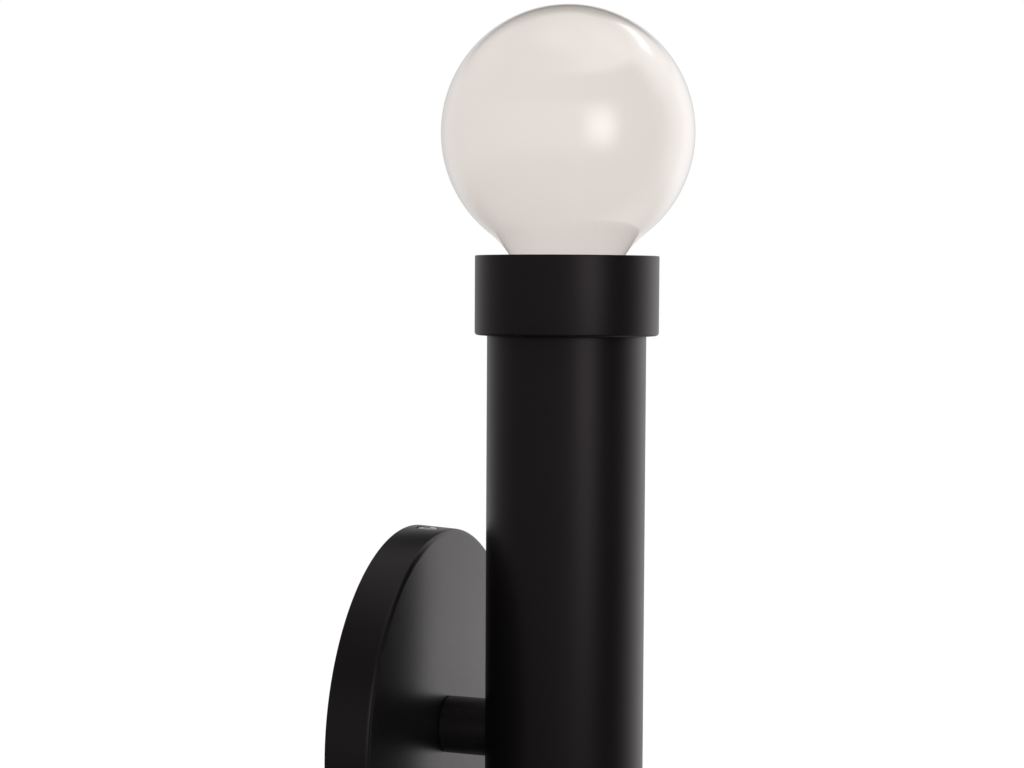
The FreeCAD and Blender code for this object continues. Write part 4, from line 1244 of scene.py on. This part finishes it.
def pale_floor():
    """A wide pale floor well below the light; it keeps soft shadows and fades into the white."""
    shape = bmesh.new()
    bmesh.ops.create_circle(shape, cap_ends=True, radius=FLOOR_R, segments=96)
    bmesh.ops.translate(shape, vec=(0, 0, FLOOR_Z), verts=shape.verts)
    floor = piece_from("floor", shape)
    finish = bpy.data.materials.new("pale_floor")
    finish.use_nodes = True
    tree = finish.node_tree
    tree.nodes.remove(tree.nodes["Principled BSDF"])
    spot = add(tree, "ShaderNodeNewGeometry").outputs["Position"]
    glow = add(tree, "ShaderNodeEmission", {"Strength": studio_brightness(tree, spot, FLOOR_GLOW)})
    paper = add(tree, "ShaderNodeBsdfDiffuse", {"Color": (0.86, 0.86, 0.86, 1)})
    share = calculated(tree, "MAXIMUM", gloss_share(tree), FLOOR_GLOW_SHARE)
    both = add(tree, "ShaderNodeMixShader", {0: share, 1: paper.outputs[0], 2: glow.outputs[0]})
    feed(tree, tree.nodes["Material Output"], {"Surface": both.outputs[0]})
    floor.data.materials.append(finish)


def softbox(name, azimuth, elevation, distance, width, height, brightness, soft_edge, on_matt):
    """A rectangular lamp that faces the light's middle and fades towards its edges.

    It lights either matt surfaces alone or gloss alone, by on_matt.
    """
    aim_height = 150
    lamp = bpy.data.lights.new(name, "AREA")
    lamp.shape = "RECTANGLE"
    lamp.size = width
    lamp.size_y = height
    lamp.energy = brightness * math.pi * width * height
    lamp.use_nodes = True
    tree = lamp.node_tree
    face = add(tree, "ShaderNodeNewGeometry").outputs["Parametric"]
    sides = add(tree, "ShaderNodeSeparateXYZ", {0: face}).outputs
    strength = 1.0
    for side in (sides["X"], sides["Y"]):
        away = calculated(tree, "ABSOLUTE", calculated(tree, "SUBTRACT", side, 0.5))
        fade = ranged(tree, away, 0, 1, 0.5, 0.5 - soft_edge / 2, interpolation_type="SMOOTHSTEP")
        strength = calculated(tree, "MULTIPLY", strength, fade)
    feed(tree, tree.nodes["Emission"], {"Strength": strength})
    holder = bpy.data.objects.new(name, lamp)
    bpy.context.scene.collection.objects.link(holder)
    way = direction_at(azimuth, elevation)
    holder.location = at_tube(0, aim_height) * MM + way * distance
    holder.rotation_mode = "QUATERNION"
    holder.rotation_quaternion = way.to_track_quat("Z", "Y")
    holder.visible_camera = False
    holder.visible_diffuse = on_matt
    holder.visible_glossy = not on_matt


def photo_camera():
    """The camera of the photograph: where it stands, which way it looks and how it leans."""
    azimuth, elevation, lean = -69.956, 2.796, math.radians(0.317)
    turn = math.radians(azimuth)
    back = direction_at(azimuth, elevation)
    right = Vector((math.cos(turn), math.sin(turn), 0))
    up = back.cross(right)
    leaned_right = right * math.cos(lean) + up * math.sin(lean)
    leaned_up = up * math.cos(lean) - right * math.sin(lean)
    axes = Matrix((leaned_right, leaned_up, back)).transposed()
    camera = bpy.data.objects.new("camera", bpy.data.cameras.new("camera"))
    bpy.context.scene.collection.objects.link(camera)
    camera.data.sensor_width = 36.0
    camera.data.lens = 70.37
    camera.data.clip_start = 0.01
    camera.data.clip_end = 200.0
    camera.matrix_world = Matrix.Translation((-0.5963, -0.2529, 0.1416)) @ axes.to_4x4()
    bpy.context.scene.camera = camera


studio_world()
pale_floor()
softbox("key_softbox", azimuth=-42, elevation=4, distance=1.0, width=0.86, height=1.0,
        brightness=1.02, soft_edge=1.0, on_matt=False)
softbox("fill_softbox", azimuth=-75, elevation=25, distance=1.4, width=1.0, height=1.0,
        brightness=0.25, soft_edge=0.5, on_matt=True)
photo_camera()
bpy.context.scene.view_settings.view_transform = "Standard"
